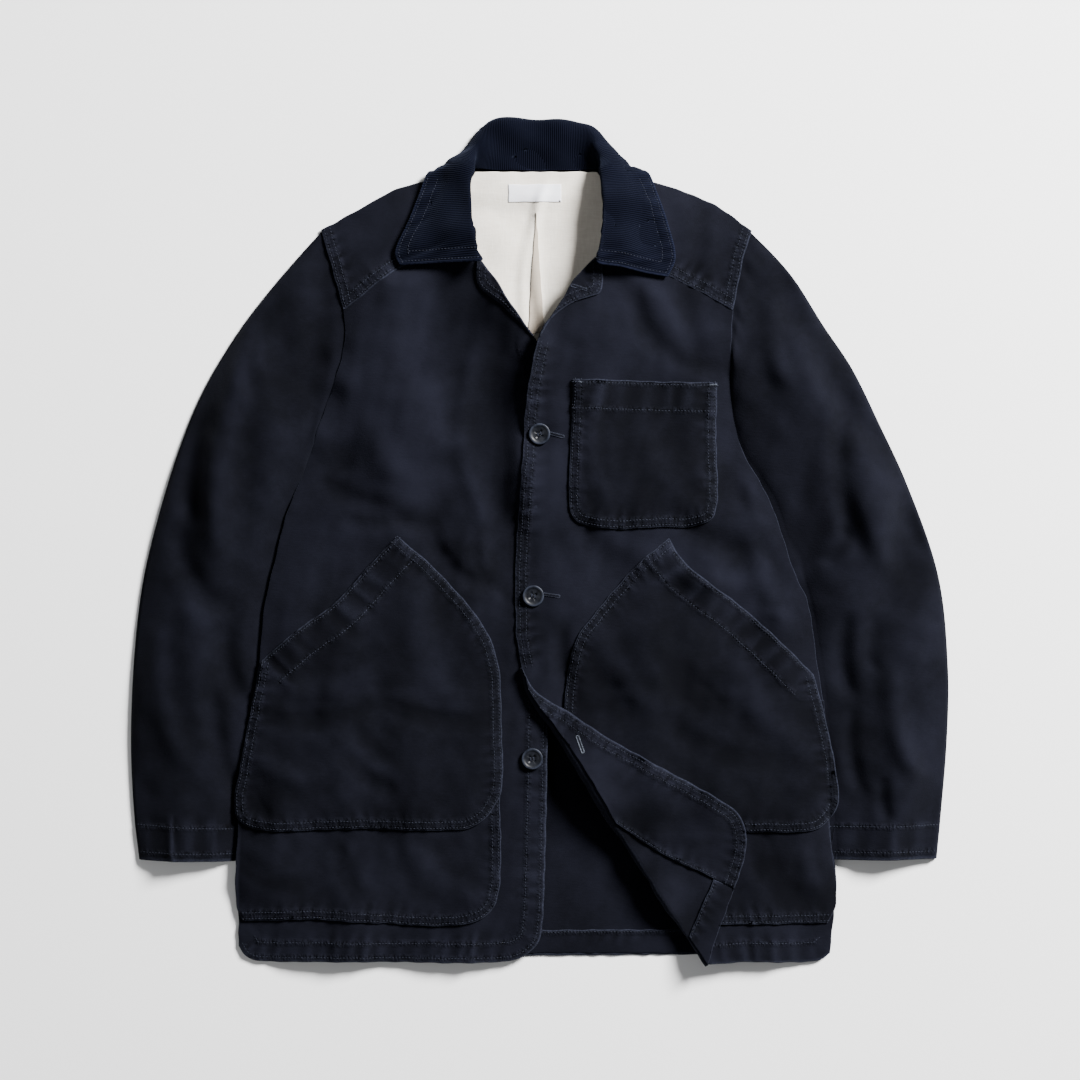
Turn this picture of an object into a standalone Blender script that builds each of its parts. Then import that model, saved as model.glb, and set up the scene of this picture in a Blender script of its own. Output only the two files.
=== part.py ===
"""Hunting jacket, laid flat on its back, in metres with +Z up.

The origin is on the surface the jacket lies on, under the middle of its box. +Y runs from the hem to the
collar and +X towards the wearer's left. Lengths below are in millimetres, and MM turns them into metres.

All the flat pieces are cut from one plan map, so that two sheets that lie on each other share their points
and stay parallel. The height functions say how high each layer lies at a place on that map.
"""

import math

import bmesh
import bpy
import numpy as np
from mathutils import Vector
from mathutils.geometry import delaunay_2d_cdt

MM = 0.001

# Cloth walls, the gap at a seam, the length of a facet and the sizes that count as nothing.
CANVAS = 1.4
LINING = 1.0
LABEL = 0.7
CORDUROY = 2.0
SEAM_GAP = 0.3
LAYER = CANVAS + SEAM_GAP
OUTLINE_STEP = 29.0
FINE_STEP = 0.1
LATTICE = 46.0
NECK_LATTICE = 25.0
NECK_REACH = 60.0
EDGE_CLEAR = 0.45
MERGE = 0.02
ON_RUN = 0.05
BEYOND = 400.0
SMALL = 1e-6

# How the layers stand apart: the hollow of the body, the sleeves' edges tucked under it, the collar's fall
# under the back, the raised neck and opening, the overlap, the pockets and the turned corner.
BODY_HOLLOW = 10.0
HOLLOW_REACH = 40.0
HEM_HOLLOW = 0.75
HEM_REACH = 70.0
TUCK_RISE = 3.5
TUCK_WIDTH = 28.0
TUCK_RAMP = 30.0
TUCK_TOP_RIGHT = 72.0
TUCK_TOP_LEFT = 100.0
TUCK_START = 45.0
TUCK_BOTTOM = -318.0
TUCK_END = 34.0
FALL_RISE = 2.9
FALL_RAMP = 20.0
LIFT_RIGHT = 13.0
LIFT_RIGHT_FROM = 170.0
LIFT_RIGHT_SPAN = 70.0
LIFT_LEFT = 18.0
LIFT_LEFT_FROM = 95.0
LIFT_LEFT_SPAN = 90.0
LIFT_REACH = 52.0
SHOULDER_REACH = 25.0
OVERLAP_RAMP = 20.0
STACK_RAMP = 16.0
POCKET_PUFF = 2.5
POCKET_REACH = 35.0
POCKET_GAPE = 3.0
GAPE_REACH = 40.0
FLAP_ROLL_TOP = 4.0
FLAP_ROLL_HEM = 2.2
FLAP_REACH = 26.0
ROLL_STEPS = 4
SHOULDER_STEPS = 2

# Outlines, as (x, y) points that a smooth curve passes through. "right" and "left" are the wearer's.
SHOULDER_RIGHT = ((-65, 363), (-82, 354), (-98, 348), (-114, 348), (-140, 341), (-173, 323), (-211, 302))
SHOULDER_LEFT = ((59, 363), (78, 354), (94, 347), (110, 348), (132, 342), (172, 325), (205, 301))
BACK_NECK = ((-65, 363), (-30, 362), (28, 362), (59, 363))
ARMHOLE_RIGHT_HIGH = ((-211, 302), (-200, 264), (-189, 225))
ARMHOLE_RIGHT_LOW = ((-189, 225), (-187, 204), (-191, 177), (-200, 149), (-212, 116), (-222, 86))
ARMHOLE_LEFT_HIGH = ((205, 301), (198, 279), (192, 251), (187, 225))
ARMHOLE_LEFT_LOW = ((187, 225), (185, 192), (187, 159))
SIDE_RIGHT = ((-222, 86), (-232, 59), (-244, 29), (-255, -15), (-265, -57), (-271, -115), (-281, -191),
              (-288, -269), (-291, -334), (-291, -390))
SIDE_LEFT = ((187, 159), (186, 140), (190, 112), (199, 83), (209, 66), (226, 32), (246, -28), (259, -57),
             (268, -114), (277, -178), (280, -249), (281, -285), (287, -325), (284, -368), (281, -397))
BACK_HEM = ((-291, -390), (-281, -399), (-135, -400), (6, -400), (149, -399), (271, -400), (281, -397))
BACK_YOKE_SEAM = ((-189, 225), (0, 222), (187, 225))

NECK_YOKE_RIGHT = ((-65, 363), (-76, 345), (-79, 318), (-75, 287))
NECK_FRONT_RIGHT = ((-75, 287), (-60, 276))
BREAK_RIGHT = ((-60, 276), (-44, 256), (-28, 230), (-2, 193))
NECK_YOKE_LEFT = ((59, 363), (70, 345), (74, 318), (70, 288))
NECK_FRONT_LEFT = ((70, 288), (60, 280))
BREAK_LEFT = ((60, 280), (35, 255), (20, 230), (3, 206), (-2, 193))
YOKE_SEAM_RIGHT = ((-189, 225), (-170, 239), (-154, 252), (-135, 265), (-106, 278), (-75, 287))
YOKE_SEAM_LEFT = ((187, 225), (161, 240), (132, 254), (102, 268), (70, 288))

EDGE_RIGHT_HIDDEN = ((-2, 193), (5, 168), (8, 119), (9, 42), (9, -55), (8, -152), (7, -230))
EDGE_RIGHT_CORNER = ((7, -230), (5, -311), (3, -361), (0, -382), (-9, -395), (-26, -403), (-59, -405))
HEM_RIGHT = ((-59, -405), (-107, -405), (-217, -404), (-273, -404), (-285, -399), (-291, -390))
EDGE_LEFT = ((-2, 193), (-8, 166), (-14, 124), (-15, 97), (-18, 56), (-23, -20), (-23, -63), (-22, -91),
             (-17, -120))
FOLD_HIGH = ((-17, -120), (-8, -146), (13, -174), (33, -201), (55, -236), (73, -269))
FOLD_MIDDLE = ((73, -269), (91, -296), (107, -321), (126, -351), (144, -379))
FOLD_LOW = ((144, -379), (162, -406))
HEM_LEFT = ((162, -406), (201, -404), (236, -405), (270, -404), (281, -397))
FLAP_FRONT_EDGE = ((-17, -120), (-8, -137), (3, -148), (24, -160), (66, -187), (100, -206), (129, -222),
                   (166, -242), (186, -255), (196, -268), (200, -285))
FLAP_HEM_HIGH = ((200, -285), (198, -305), (188, -334))
FLAP_HEM_LOW = ((188, -334), (177, -362), (169, -382), (162, -406))
FACING_INNER = ((73, -269), (100, -288), (129, -305), (152, -316), (168, -324))
FACING_INNER_END = ((168, -324), (188, -334))
HEM_TURN_INNER = ((144, -379), (156, -351), (168, -324))

CHEST_POCKET_TOP = ((32, 158), (172, 155))
CHEST_POCKET_SIDES = ((172, 155), (171, 104), (171, 35), (166, 23), (149, 16), (112, 15), (74, 13),
                      (50, 16), (36, 20), (29, 33), (28, 53), (30, 104), (32, 158))
WAIST_OPENING_RIGHT = ((-137, 7), (-162, -19), (-200, -60), (-226, -78), (-251, -98), (-270, -115))
WAIST_SIDES_RIGHT = ((-270, -115), (-278, -156), (-290, -219), (-295, -251), (-291, -268), (-278, -275),
                     (-247, -278), (-184, -276), (-87, -277), (-66, -275), (-49, -262), (-38, -244),
                     (-35, -219), (-36, -188), (-39, -120), (-47, -93), (-62, -68), (-83, -43), (-110, -16),
                     (-137, 7))
WAIST_OPENING_LEFT = ((125, 5), (138, -16), (161, -36), (196, -62), (224, -87), (245, -107), (265, -127))
WAIST_SIDES_LEFT = ((265, -127), (273, -156), (284, -205), (289, -239), (289, -251), (277, -270),
                    (263, -277), (156, -278), (78, -277), (49, -275), (30, -259), (22, -230), (22, -191),
                    (24, -153), (28, -120), (36, -91), (52, -69), (72, -45), (98, -17), (125, 5))
LOWER_RIGHT = ((-37, -152), (-38, -257), (-37, -284), (-38, -328), (-42, -347), (-53, -361), (-75, -368),
               (-107, -370), (-162, -366), (-217, -364), (-287, -366))
LOWER_RIGHT_SIDE = ((-287, -366), (-293, -352), (-291, -269), (-282, -191), (-274, -152))
LOWER_LEFT = ((30, -152), (30, -284), (32, -346), (44, -361), (78, -368), (182, -368), (279, -368))
LOWER_LEFT_SIDE = ((279, -368), (287, -351), (286, -319), (281, -285), (279, -210), (275, -152))

LAPEL_EDGE_RIGHT = ((-2, 193), (-21, 213), (-40, 231), (-58, 246), (-61, 260), (-60, 276))
LAPEL_EDGE_LEFT = ((-2, 193), (11, 214), (24, 226), (41, 234), (58, 240), (61, 252), (60, 280))
LINING_TOP = ((-62, 359), (56, 359))
LINING_EDGE = ((56, 359), (64, 345), (67, 318), (64, 285), (48, 250), (22, 214), (2, 176), (-14, 176),
               (-32, 214), (-52, 250), (-69, 285), (-73, 318), (-70, 345), (-62, 359))
PLEAT_EDGE = ((-3, 320), (0, 272), (5, 205), (-11, 201), (-7, 272))
LABEL_EDGE = ((-30, 347), (21, 347), (21, 330), (-30, 330))
FALL_EDGE = ((-109, 352), (-94, 344), (-60, 340), (-4, 337), (54, 340), (90, 344), (106, 352))
FALL_TOP = ((106, 352), (70, 372), (-74, 372), (-109, 352))
BACK_HEM_TURN = ((-30, -375), (165, -374), (165, -397), (-30, -397))

# Collar, station by station from its right front end round the back of the neck to its left front end. Each
# row has the neck seam, the crest of the roll, the side or upper leaf, the underside or lower leaf, and the
# outer edge, as (x, y, z).
COLLAR_STATIONS = (
    ((-62, 274, 27.5), (-55, 271, 35.0), (-82, 270, 30.0), (-108, 269, 24.5), (-134, 268, 19.5)),
    ((-75, 288, 27.0), (-61, 292, 35.0), (-87, 289, 29.5), (-112, 285, 23.0), (-138, 281, 17.5)),
    ((-79, 315, 24.0), (-65, 315, 33.0), (-86, 315, 28.0), (-106, 313, 21.5), (-125, 311, 16.0)),
    ((-77, 340, 18.6), (-67, 338, 29.0), (-83, 338, 24.0), (-99, 338, 17.5), (-115, 337, 12.5)),
    ((-73, 352, 14.0), (-67, 352, 25.0), (-83, 356, 19.5), (-96, 358, 12.5), (-107, 358, 6.5)),
    ((-71, 357, 12.0), (-66, 359, 23.0), (-87, 364, 14.0), (-97, 363, 6.0), (-101, 358, 2.4)),
    ((-69, 360, 10.6), (-66, 365, 21.0), (-86, 370, 9.5), (-90, 365, 2.0), (-94, 350, 1.3)),
    ((-64, 363, 9.2), (-63, 381, 16.0), (-71, 384, 7.0), (-74, 376, 1.5), (-76, 350, 1.3)),
    ((-57, 363, 7.4), (-56, 394, 12.0), (-59, 400, 5.5), (-60, 392, 1.4), (-61, 348, 1.3)),
    ((-43, 362, 6.3), (-41, 403, 8.6), (-41, 408, 4.8), (-41, 401, 1.4), (-41, 346, 1.3)),
    ((-4, 362, 6.2), (-4, 404, 8.4), (-4, 409, 4.8), (-4, 402, 1.4), (-4, 345, 1.3)),
    ((36, 362, 6.3), (35, 402, 8.6), (35, 407, 4.8), (35, 400, 1.4), (36, 346, 1.3)),
    ((51, 363, 7.4), (50, 395, 12.0), (53, 401, 5.5), (55, 393, 1.4), (56, 348, 1.3)),
    ((58, 363, 9.4), (56, 381, 16.0), (69, 384, 7.0), (71, 376, 1.5), (72, 350, 1.3)),
    ((63, 360, 11.2), (59, 365, 21.0), (83, 371, 9.5), (87, 365, 2.0), (90, 350, 1.3)),
    ((65, 357, 13.0), (59, 359, 23.5), (84, 364, 14.5), (94, 363, 6.0), (98, 358, 2.4)),
    ((67, 352, 15.4), (60, 352, 26.0), (79, 357, 20.5), (93, 358, 13.0), (104, 358, 6.5)),
    ((71, 340, 21.4), (61, 338, 31.0), (79, 338, 26.0), (97, 337, 18.5), (113, 337, 12.5)),
    ((73, 315, 27.0), (60, 315, 35.0), (82, 313, 29.5), (103, 310, 23.0), (123, 307, 17.0)),
    ((70, 290, 31.2), (57, 289, 38.0), (83, 286, 32.5), (107, 280, 25.0), (130, 275, 18.5)),
    ((64, 278, 33.0), (55, 269, 38.5), (79, 265, 32.5), (102, 260, 25.5), (123, 257, 20.0)),
)
COLLAR_ROWS = 11

# Sleeves, ring by ring below the armhole, as (outer x, outer y, inner x, inner y, tuck, puff). outer and inner
# are the ends of the ring on the plan, tuck is the width that lies flat under the body, and puff is how high
# the upper layer swells.
SLEEVE_RIGHT = (
    (-232, 279, -226, 80, 2, 10), (-261, 245, -236, 52, 2, 13), (-290, 207, -242, 36, 3, 15),
    (-325, 149, -243, 13, 8, 16), (-350, 89, -243, -16, 14, 16), (-380, -16, -249, -80, 21, 15),
    (-390, -78, -253, -115, 21, 15), (-396, -180, -258, -190, 25, 14), (-393, -262, -264, -269, 26, 13),
    (-388, -306, -266, -308, 27, 12),
)
SLEEVE_LEFT = (
    (228, 278, 187, 139, 2, 10), (248, 254, 193, 110, 2, 13), (275, 211, 205, 76, 3, 15),
    (303, 169, 218, 51, 5, 16), (331, 112, 225, 27, 8, 16), (355, 60, 230, -2, 12, 16),
    (386, -29, 243, -55, 18, 15),
    (396, -120, 254, -135, 21, 15), (395, -190, 259, -200, 22, 14), (389, -264, 263, -267, 22, 13),
    (385, -305, 265, -306, 23, 12),
)
SLEEVE_FLAT = 3.2
SLEEVE_BOW = (0.55, 0.2)
SLEEVE_PEAK = 0.45

# Buttons, at (x, y), sewn to the right front. The top two come through the left front.
BUTTON_PLACES = ((0, 105), (-6, -51), (-7, -208))
BUTTON_RADIUS = 10.4
BUTTON_HEIGHT = 3.0
BUTTON_DISH = 1.0
BUTTON_RIM = 2.4
BUTTON_ROUND = 0.8
BUTTON_ARRIS = 0.3
HOLES = 4
BUTTON_SIDES = 16
HOLE_RADIUS = 1.0
HOLE_SPREAD = 2.0
HOLE_SIDES = 5

# Colour, roughness and metallic value of each cloth.
MATERIALS = {
    "navy_canvas": ((0.017, 0.021, 0.034), 0.9, 0.0),
    "navy_corduroy": ((0.008, 0.010, 0.030), 0.95, 0.0),
    "natural_lining": ((0.74, 0.70, 0.63), 0.9, 0.0),
    "white_label": ((0.85, 0.85, 0.88), 0.8, 0.0),
    "navy_plastic": ((0.025, 0.032, 0.050), 0.45, 0.0),
}


# Curves on the plan.

def smooth_run(points, step=OUTLINE_STEP):
    """Evenly spaced points, at most step apart, on a smooth curve through the given ones."""
    places = fine_curve(points)
    length = np.linalg.norm(np.diff(places, axis=0), axis=1).sum()
    return spaced(places, max(1, math.ceil(length / step)))


def fine_curve(points):
    """Many points on the smooth curve through the given ones."""
    places = np.array(points, dtype=float)
    if len(places) < 3:
        return places
    padded = np.vstack((2 * places[0] - places[1], places, 2 * places[-1] - places[-2]))
    fine = [spline_point(padded[i:i + 4], t)
            for i in range(len(places) - 1) for t in np.arange(0, 1, FINE_STEP)]
    return np.array(fine + [places[-1]])


def spaced(places, count):
    """A run of points cut into count equal lengths."""
    along = np.concatenate(([0], np.cumsum(np.linalg.norm(np.diff(places, axis=0), axis=1))))
    stops = np.linspace(0, along[-1], count + 1)
    return np.column_stack([np.interp(stops, along, places[:, axis]) for axis in range(places.shape[1])])


def spline_point(corners, t):
    """A point on the centripetal Catmull-Rom curve between the second and third of four corners."""
    knots = np.concatenate(([0], np.cumsum(np.sqrt(np.linalg.norm(np.diff(corners, axis=0), axis=1)))))
    at = knots[1] + t * (knots[2] - knots[1])
    level = list(corners)
    for spans in (((0, 1), (1, 2), (2, 3)), ((0, 2), (1, 3)), ((1, 2),)):
        level = [
            (level[i] * (knots[b] - at) + level[i + 1] * (at - knots[a])) / (knots[b] - knots[a])
            for i, (a, b) in enumerate(spans)
        ]
    return level[0]


def joined(*runs):
    """One closed outline from runs laid end to end, each turned round where it must be to meet the last."""
    first, second = runs[0], runs[1]
    ends = (second[0], second[-1])
    if min(math.dist(first[-1], end) for end in ends) > min(math.dist(first[0], end) for end in ends):
        first = first[::-1]
    outline = list(first)
    for run in runs[1:]:
        if math.dist(outline[-1], run[-1]) < math.dist(outline[-1], run[0]):
            run = run[::-1]
        outline += list(run[1:])
    return np.array(outline[:-1])


def distance_to(run, x, y):
    """How far each place lies from a run of points."""
    start, end = run[:-1], run[1:]
    way = end - start
    rel_x, rel_y = x[:, None] - start[:, 0], y[:, None] - start[:, 1]
    along = np.clip((rel_x * way[:, 0] + rel_y * way[:, 1]) / np.maximum((way ** 2).sum(1), SMALL), 0, 1)
    return np.hypot(rel_x - along * way[:, 0], rel_y - along * way[:, 1]).min(1)


def inside(outline, x, y):
    """True at each place that a closed outline goes round."""
    x1, y1 = outline[:, 0], outline[:, 1]
    x2, y2 = np.roll(x1, -1), np.roll(y1, -1)
    rise = np.where(y2 == y1, SMALL, y2 - y1)
    crosses = (y1 > y[:, None]) != (y2 > y[:, None])
    crosses &= x[:, None] < x1 + (y[:, None] - y1) * (x2 - x1) / rise
    return crosses.sum(1) % 2 == 1


def ease(t):
    """A soft step from 0 to 1."""
    t = np.clip(t, 0, 1)
    return t * t * (3 - 2 * t)


def over(outline, x, y, ramp):
    """1 inside an outline, falling softly to 0 at ramp outside it."""
    away = np.where(inside(outline, x, y), 0, distance_to(np.vstack((outline, outline[:1])), x, y))
    return ease(1 - away / ramp)


def swell(outline, x, y, reach):
    """0 at an outline, rising towards 1 inside it."""
    deep = np.where(inside(outline, x, y), distance_to(np.vstack((outline, outline[:1])), x, y), 0)
    return 1 - np.exp(-deep / reach)


# The runs that the outlines are made of. Corners join two runs.

RUNS = {
    name: smooth_run(points)
    for name, points in {
        "shoulder_right": SHOULDER_RIGHT, "shoulder_left": SHOULDER_LEFT, "back_neck": BACK_NECK,
        "armhole_right_high": ARMHOLE_RIGHT_HIGH, "armhole_right_low": ARMHOLE_RIGHT_LOW,
        "armhole_left_high": ARMHOLE_LEFT_HIGH, "armhole_left_low": ARMHOLE_LEFT_LOW,
        "side_right": SIDE_RIGHT, "side_left": SIDE_LEFT,
        "back_hem": BACK_HEM, "back_yoke_seam": BACK_YOKE_SEAM,
        "neck_yoke_right": NECK_YOKE_RIGHT, "neck_front_right": NECK_FRONT_RIGHT, "break_right": BREAK_RIGHT,
        "neck_yoke_left": NECK_YOKE_LEFT, "neck_front_left": NECK_FRONT_LEFT, "break_left": BREAK_LEFT,
        "yoke_seam_right": YOKE_SEAM_RIGHT, "yoke_seam_left": YOKE_SEAM_LEFT,
        "edge_right_hidden": EDGE_RIGHT_HIDDEN, "edge_right_corner": EDGE_RIGHT_CORNER,
        "hem_right": HEM_RIGHT,
        "edge_left": EDGE_LEFT, "fold_high": FOLD_HIGH, "fold_middle": FOLD_MIDDLE, "fold_low": FOLD_LOW,
        "hem_left": HEM_LEFT, "flap_front_edge": FLAP_FRONT_EDGE, "flap_hem_high": FLAP_HEM_HIGH,
        "flap_hem_low": FLAP_HEM_LOW, "facing_inner": FACING_INNER, "facing_inner_end": FACING_INNER_END,
        "hem_turn_inner": HEM_TURN_INNER, "chest_top": CHEST_POCKET_TOP, "chest_sides": CHEST_POCKET_SIDES,
        "waist_opening_right": WAIST_OPENING_RIGHT, "waist_sides_right": WAIST_SIDES_RIGHT,
        "waist_opening_left": WAIST_OPENING_LEFT, "waist_sides_left": WAIST_SIDES_LEFT,
        "lower_right": LOWER_RIGHT, "lower_right_side": LOWER_RIGHT_SIDE,
        "lower_right_top": (LOWER_RIGHT_SIDE[-1], LOWER_RIGHT[0]),
        "lower_left": LOWER_LEFT, "lower_left_side": LOWER_LEFT_SIDE,
        "lower_left_top": (LOWER_LEFT_SIDE[-1], LOWER_LEFT[0]),
        "lapel_right": LAPEL_EDGE_RIGHT, "lapel_left": LAPEL_EDGE_LEFT,
        "lining_top": LINING_TOP, "lining_edge": LINING_EDGE, "fall_edge": FALL_EDGE,
    }.items()
}
for piece, corners in (("pleat", PLEAT_EDGE), ("label", LABEL_EDGE), ("back_hem_turn", BACK_HEM_TURN)):
    for side, (start, end) in enumerate(zip(corners, corners[1:] + corners[:1])):
        RUNS[f"{piece}_{side}"] = smooth_run((start, end))

# The line where the back comes down again inside each sleeve's tucked edge.
for piece, inward in (("side_right", 1), ("side_left", -1)):
    way = np.gradient(RUNS[piece], axis=0)
    shelf = RUNS[piece] + np.column_stack((-way[:, 1], way[:, 0])) / np.linalg.norm(way, axis=1)[:, None] * (
        TUCK_WIDTH * inward)
    RUNS[f"{piece}_shelf"] = shelf[(shelf[:, 1] < TUCK_TOP_RIGHT) & (shelf[:, 1] > TUCK_BOTTOM - TUCK_END)]

# Each piece's outline, by the names of its runs.
OUTLINES = {
    "back": ("side_right", "armhole_right_low", "back_yoke_seam", "armhole_left_low", "side_left",
             "back_hem"),
    "yoke_back": ("back_yoke_seam", "armhole_left_high", "shoulder_left", "back_neck", "shoulder_right",
                  "armhole_right_high"),
    "yoke_front_right": ("shoulder_right", "armhole_right_high", "yoke_seam_right", "neck_yoke_right"),
    "yoke_front_left": ("shoulder_left", "armhole_left_high", "yoke_seam_left", "neck_yoke_left"),
    "front_right": ("yoke_seam_right", "neck_front_right", "break_right", "edge_right_hidden",
                    "edge_right_corner", "hem_right", "side_right", "armhole_right_low"),
    "front_left": ("yoke_seam_left", "neck_front_left", "break_left", "edge_left", "fold_high", "fold_middle",
                   "fold_low", "hem_left", "side_left", "armhole_left_low"),
    "flap": ("fold_high", "fold_middle", "fold_low", "flap_hem_low", "flap_hem_high", "flap_front_edge"),
    "facing_left_corner": ("flap_front_edge", "flap_hem_high", "facing_inner_end", "facing_inner",
                           "fold_high"),
    "hem_left_corner": ("facing_inner_end", "flap_hem_low", "fold_low", "hem_turn_inner"),
    "back_hem": tuple(f"back_hem_turn_{side}" for side in range(4)),
    "chest_pocket": ("chest_top", "chest_sides"),
    "waist_pocket_right": ("waist_opening_right", "waist_sides_right"),
    "waist_pocket_left": ("waist_opening_left", "waist_sides_left"),
    "lower_pocket_right": ("lower_right", "lower_right_side", "lower_right_top"),
    "lower_pocket_left": ("lower_left", "lower_left_side", "lower_left_top"),
    "lapel_right": ("break_right", "lapel_right"),
    "lapel_left": ("break_left", "lapel_left"),
    "lining": ("lining_top", "lining_edge"),
    "lining_pleat": tuple(f"pleat_{side}" for side in range(len(PLEAT_EDGE))),
    "label": tuple(f"label_{side}" for side in range(len(LABEL_EDGE))),
}
OUTLINES = {name: joined(*(RUNS[run] for run in runs)) for name, runs in OUTLINES.items()}
OUTLINES["fall"] = joined(RUNS["fall_edge"], smooth_run(FALL_TOP))
PLAN_PIECES = ("back", "yoke_back", "front_right", "front_left", "flap")
BEYOND_FOLD = joined(
    RUNS["fold_high"], RUNS["fold_middle"], RUNS["fold_low"],
    np.array((FOLD_LOW[-1], (BEYOND, FOLD_LOW[-1][1]), (BEYOND, BEYOND), (FOLD_HIGH[0][0], BEYOND),
              FOLD_HIGH[0]), dtype=float))


# How high each layer lies. Every function takes places on the plan and gives the underside of its sheet.

def back_bottom(x, y):
    """The back lies on the surface, over the sleeves' inner edges and over the collar's fall."""
    tuck = np.zeros_like(x)
    for side, top in (("side_right", TUCK_TOP_RIGHT), ("side_left", TUCK_TOP_LEFT)):
        near = ease(1 - (distance_to(RUNS[side], x, y) - TUCK_WIDTH) / TUCK_RAMP)
        along = ease((top - y) / TUCK_START) * ease((y - TUCK_BOTTOM) / TUCK_END + 1)
        tuck = np.maximum(tuck, near * along)
    return TUCK_RISE * tuck + FALL_RISE * over(OUTLINES["fall"], x, y, FALL_RAMP)


def hollow(x, y):
    """The air between the back and the fronts: none at the folds and seams, less at the hem."""
    folds = np.min([distance_to(RUNS[run], x, y)
                    for run in ("shoulder_right", "shoulder_left", "side_right", "side_left")], axis=0)
    hem = 1 - (1 - HEM_HOLLOW) * np.exp(-distance_to(RUNS["back_hem"], x, y) / HEM_REACH)
    return BODY_HOLLOW * (1 - np.exp(-folds / HOLLOW_REACH)) * hem


def lift(x, y, side):
    """How far a front's neck and opening edge stand up under the collar and at the break."""
    height, start, span = {"right": (LIFT_RIGHT, LIFT_RIGHT_FROM, LIFT_RIGHT_SPAN),
                           "left": (LIFT_LEFT, LIFT_LEFT_FROM, LIFT_LEFT_SPAN)}[side]
    edges = [f"neck_yoke_{side}", f"neck_front_{side}", f"break_{side}"]
    edges += ["edge_left"] if side == "left" else ["edge_right_hidden"]
    away = np.min([distance_to(RUNS[run], x, y) for run in edges], axis=0)
    shoulder = distance_to(RUNS[f"shoulder_{side}"], x, y)
    return (height * ease((y - start) / span) * np.exp(-(away / LIFT_REACH) ** 2)
            * (1 - np.exp(-shoulder / SHOULDER_REACH)))


def front_right_bottom(x, y):
    """The under front and its yoke."""
    return back_bottom(x, y) + LAYER + hollow(x, y) + lift(x, y, "right")


def front_left_bottom(x, y):
    """The over front and its yoke, a layer higher where it crosses the under front."""
    crossing = LAYER * over(OUTLINES["front_right"], x, y, OVERLAP_RAMP)
    raised = np.maximum(lift(x, y, "left"), lift(x, y, "right"))
    return back_bottom(x, y) + LAYER + hollow(x, y) + raised + crossing


def pocket_gape(x, y, side):
    """A slanted pocket's puff and the slack of its opening edge."""
    opening = distance_to(RUNS[f"waist_opening_{side}"], x, y)
    deep = swell(OUTLINES[f"waist_pocket_{side}"], x, y, POCKET_REACH)
    corners = RUNS[f"waist_opening_{side}"][[0, -1]]
    ends = np.min([np.hypot(x - end[0], y - end[1]) for end in corners], axis=0)
    slack = np.exp(-opening / GAPE_REACH) * ease(ends / GAPE_REACH)
    return POCKET_PUFF * deep + POCKET_GAPE * slack * inside(OUTLINES[f"waist_pocket_{side}"], x, y)


def lower_pocket_bottom(x, y, side):
    """A lower pocket lies on its front."""
    front = front_right_bottom if side == "right" else front_left_bottom
    return front(x, y) + LAYER


def waist_pocket_bottom(x, y, side):
    """A slanted pocket lies on its front, and on the lower pocket where that reaches under it."""
    return (lower_pocket_bottom(x, y, side) + LAYER * over(OUTLINES[f"lower_pocket_{side}"], x, y, STACK_RAMP)
            + pocket_gape(x, y, side))


def flap_bottom(x, y):
    """The left front's turned corner lies on the pockets, higher towards its fold."""
    fold = np.min([distance_to(RUNS[run], x, y) for run in ("fold_high", "fold_middle", "fold_low")], axis=0)
    low = ease((FOLD_HIGH[0][1] - y) / (FOLD_HIGH[0][1] - FOLD_LOW[-1][1]))
    roll = 2 * (FLAP_ROLL_TOP + (FLAP_ROLL_HEM - FLAP_ROLL_TOP) * low) * np.exp(-fold / FLAP_REACH)
    pocket = LAYER * over(OUTLINES["waist_pocket_left"], x, y, STACK_RAMP)
    return waist_pocket_bottom(x, y, "left") + pocket + roll


# The plan map and the sheets cut from it.

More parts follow.
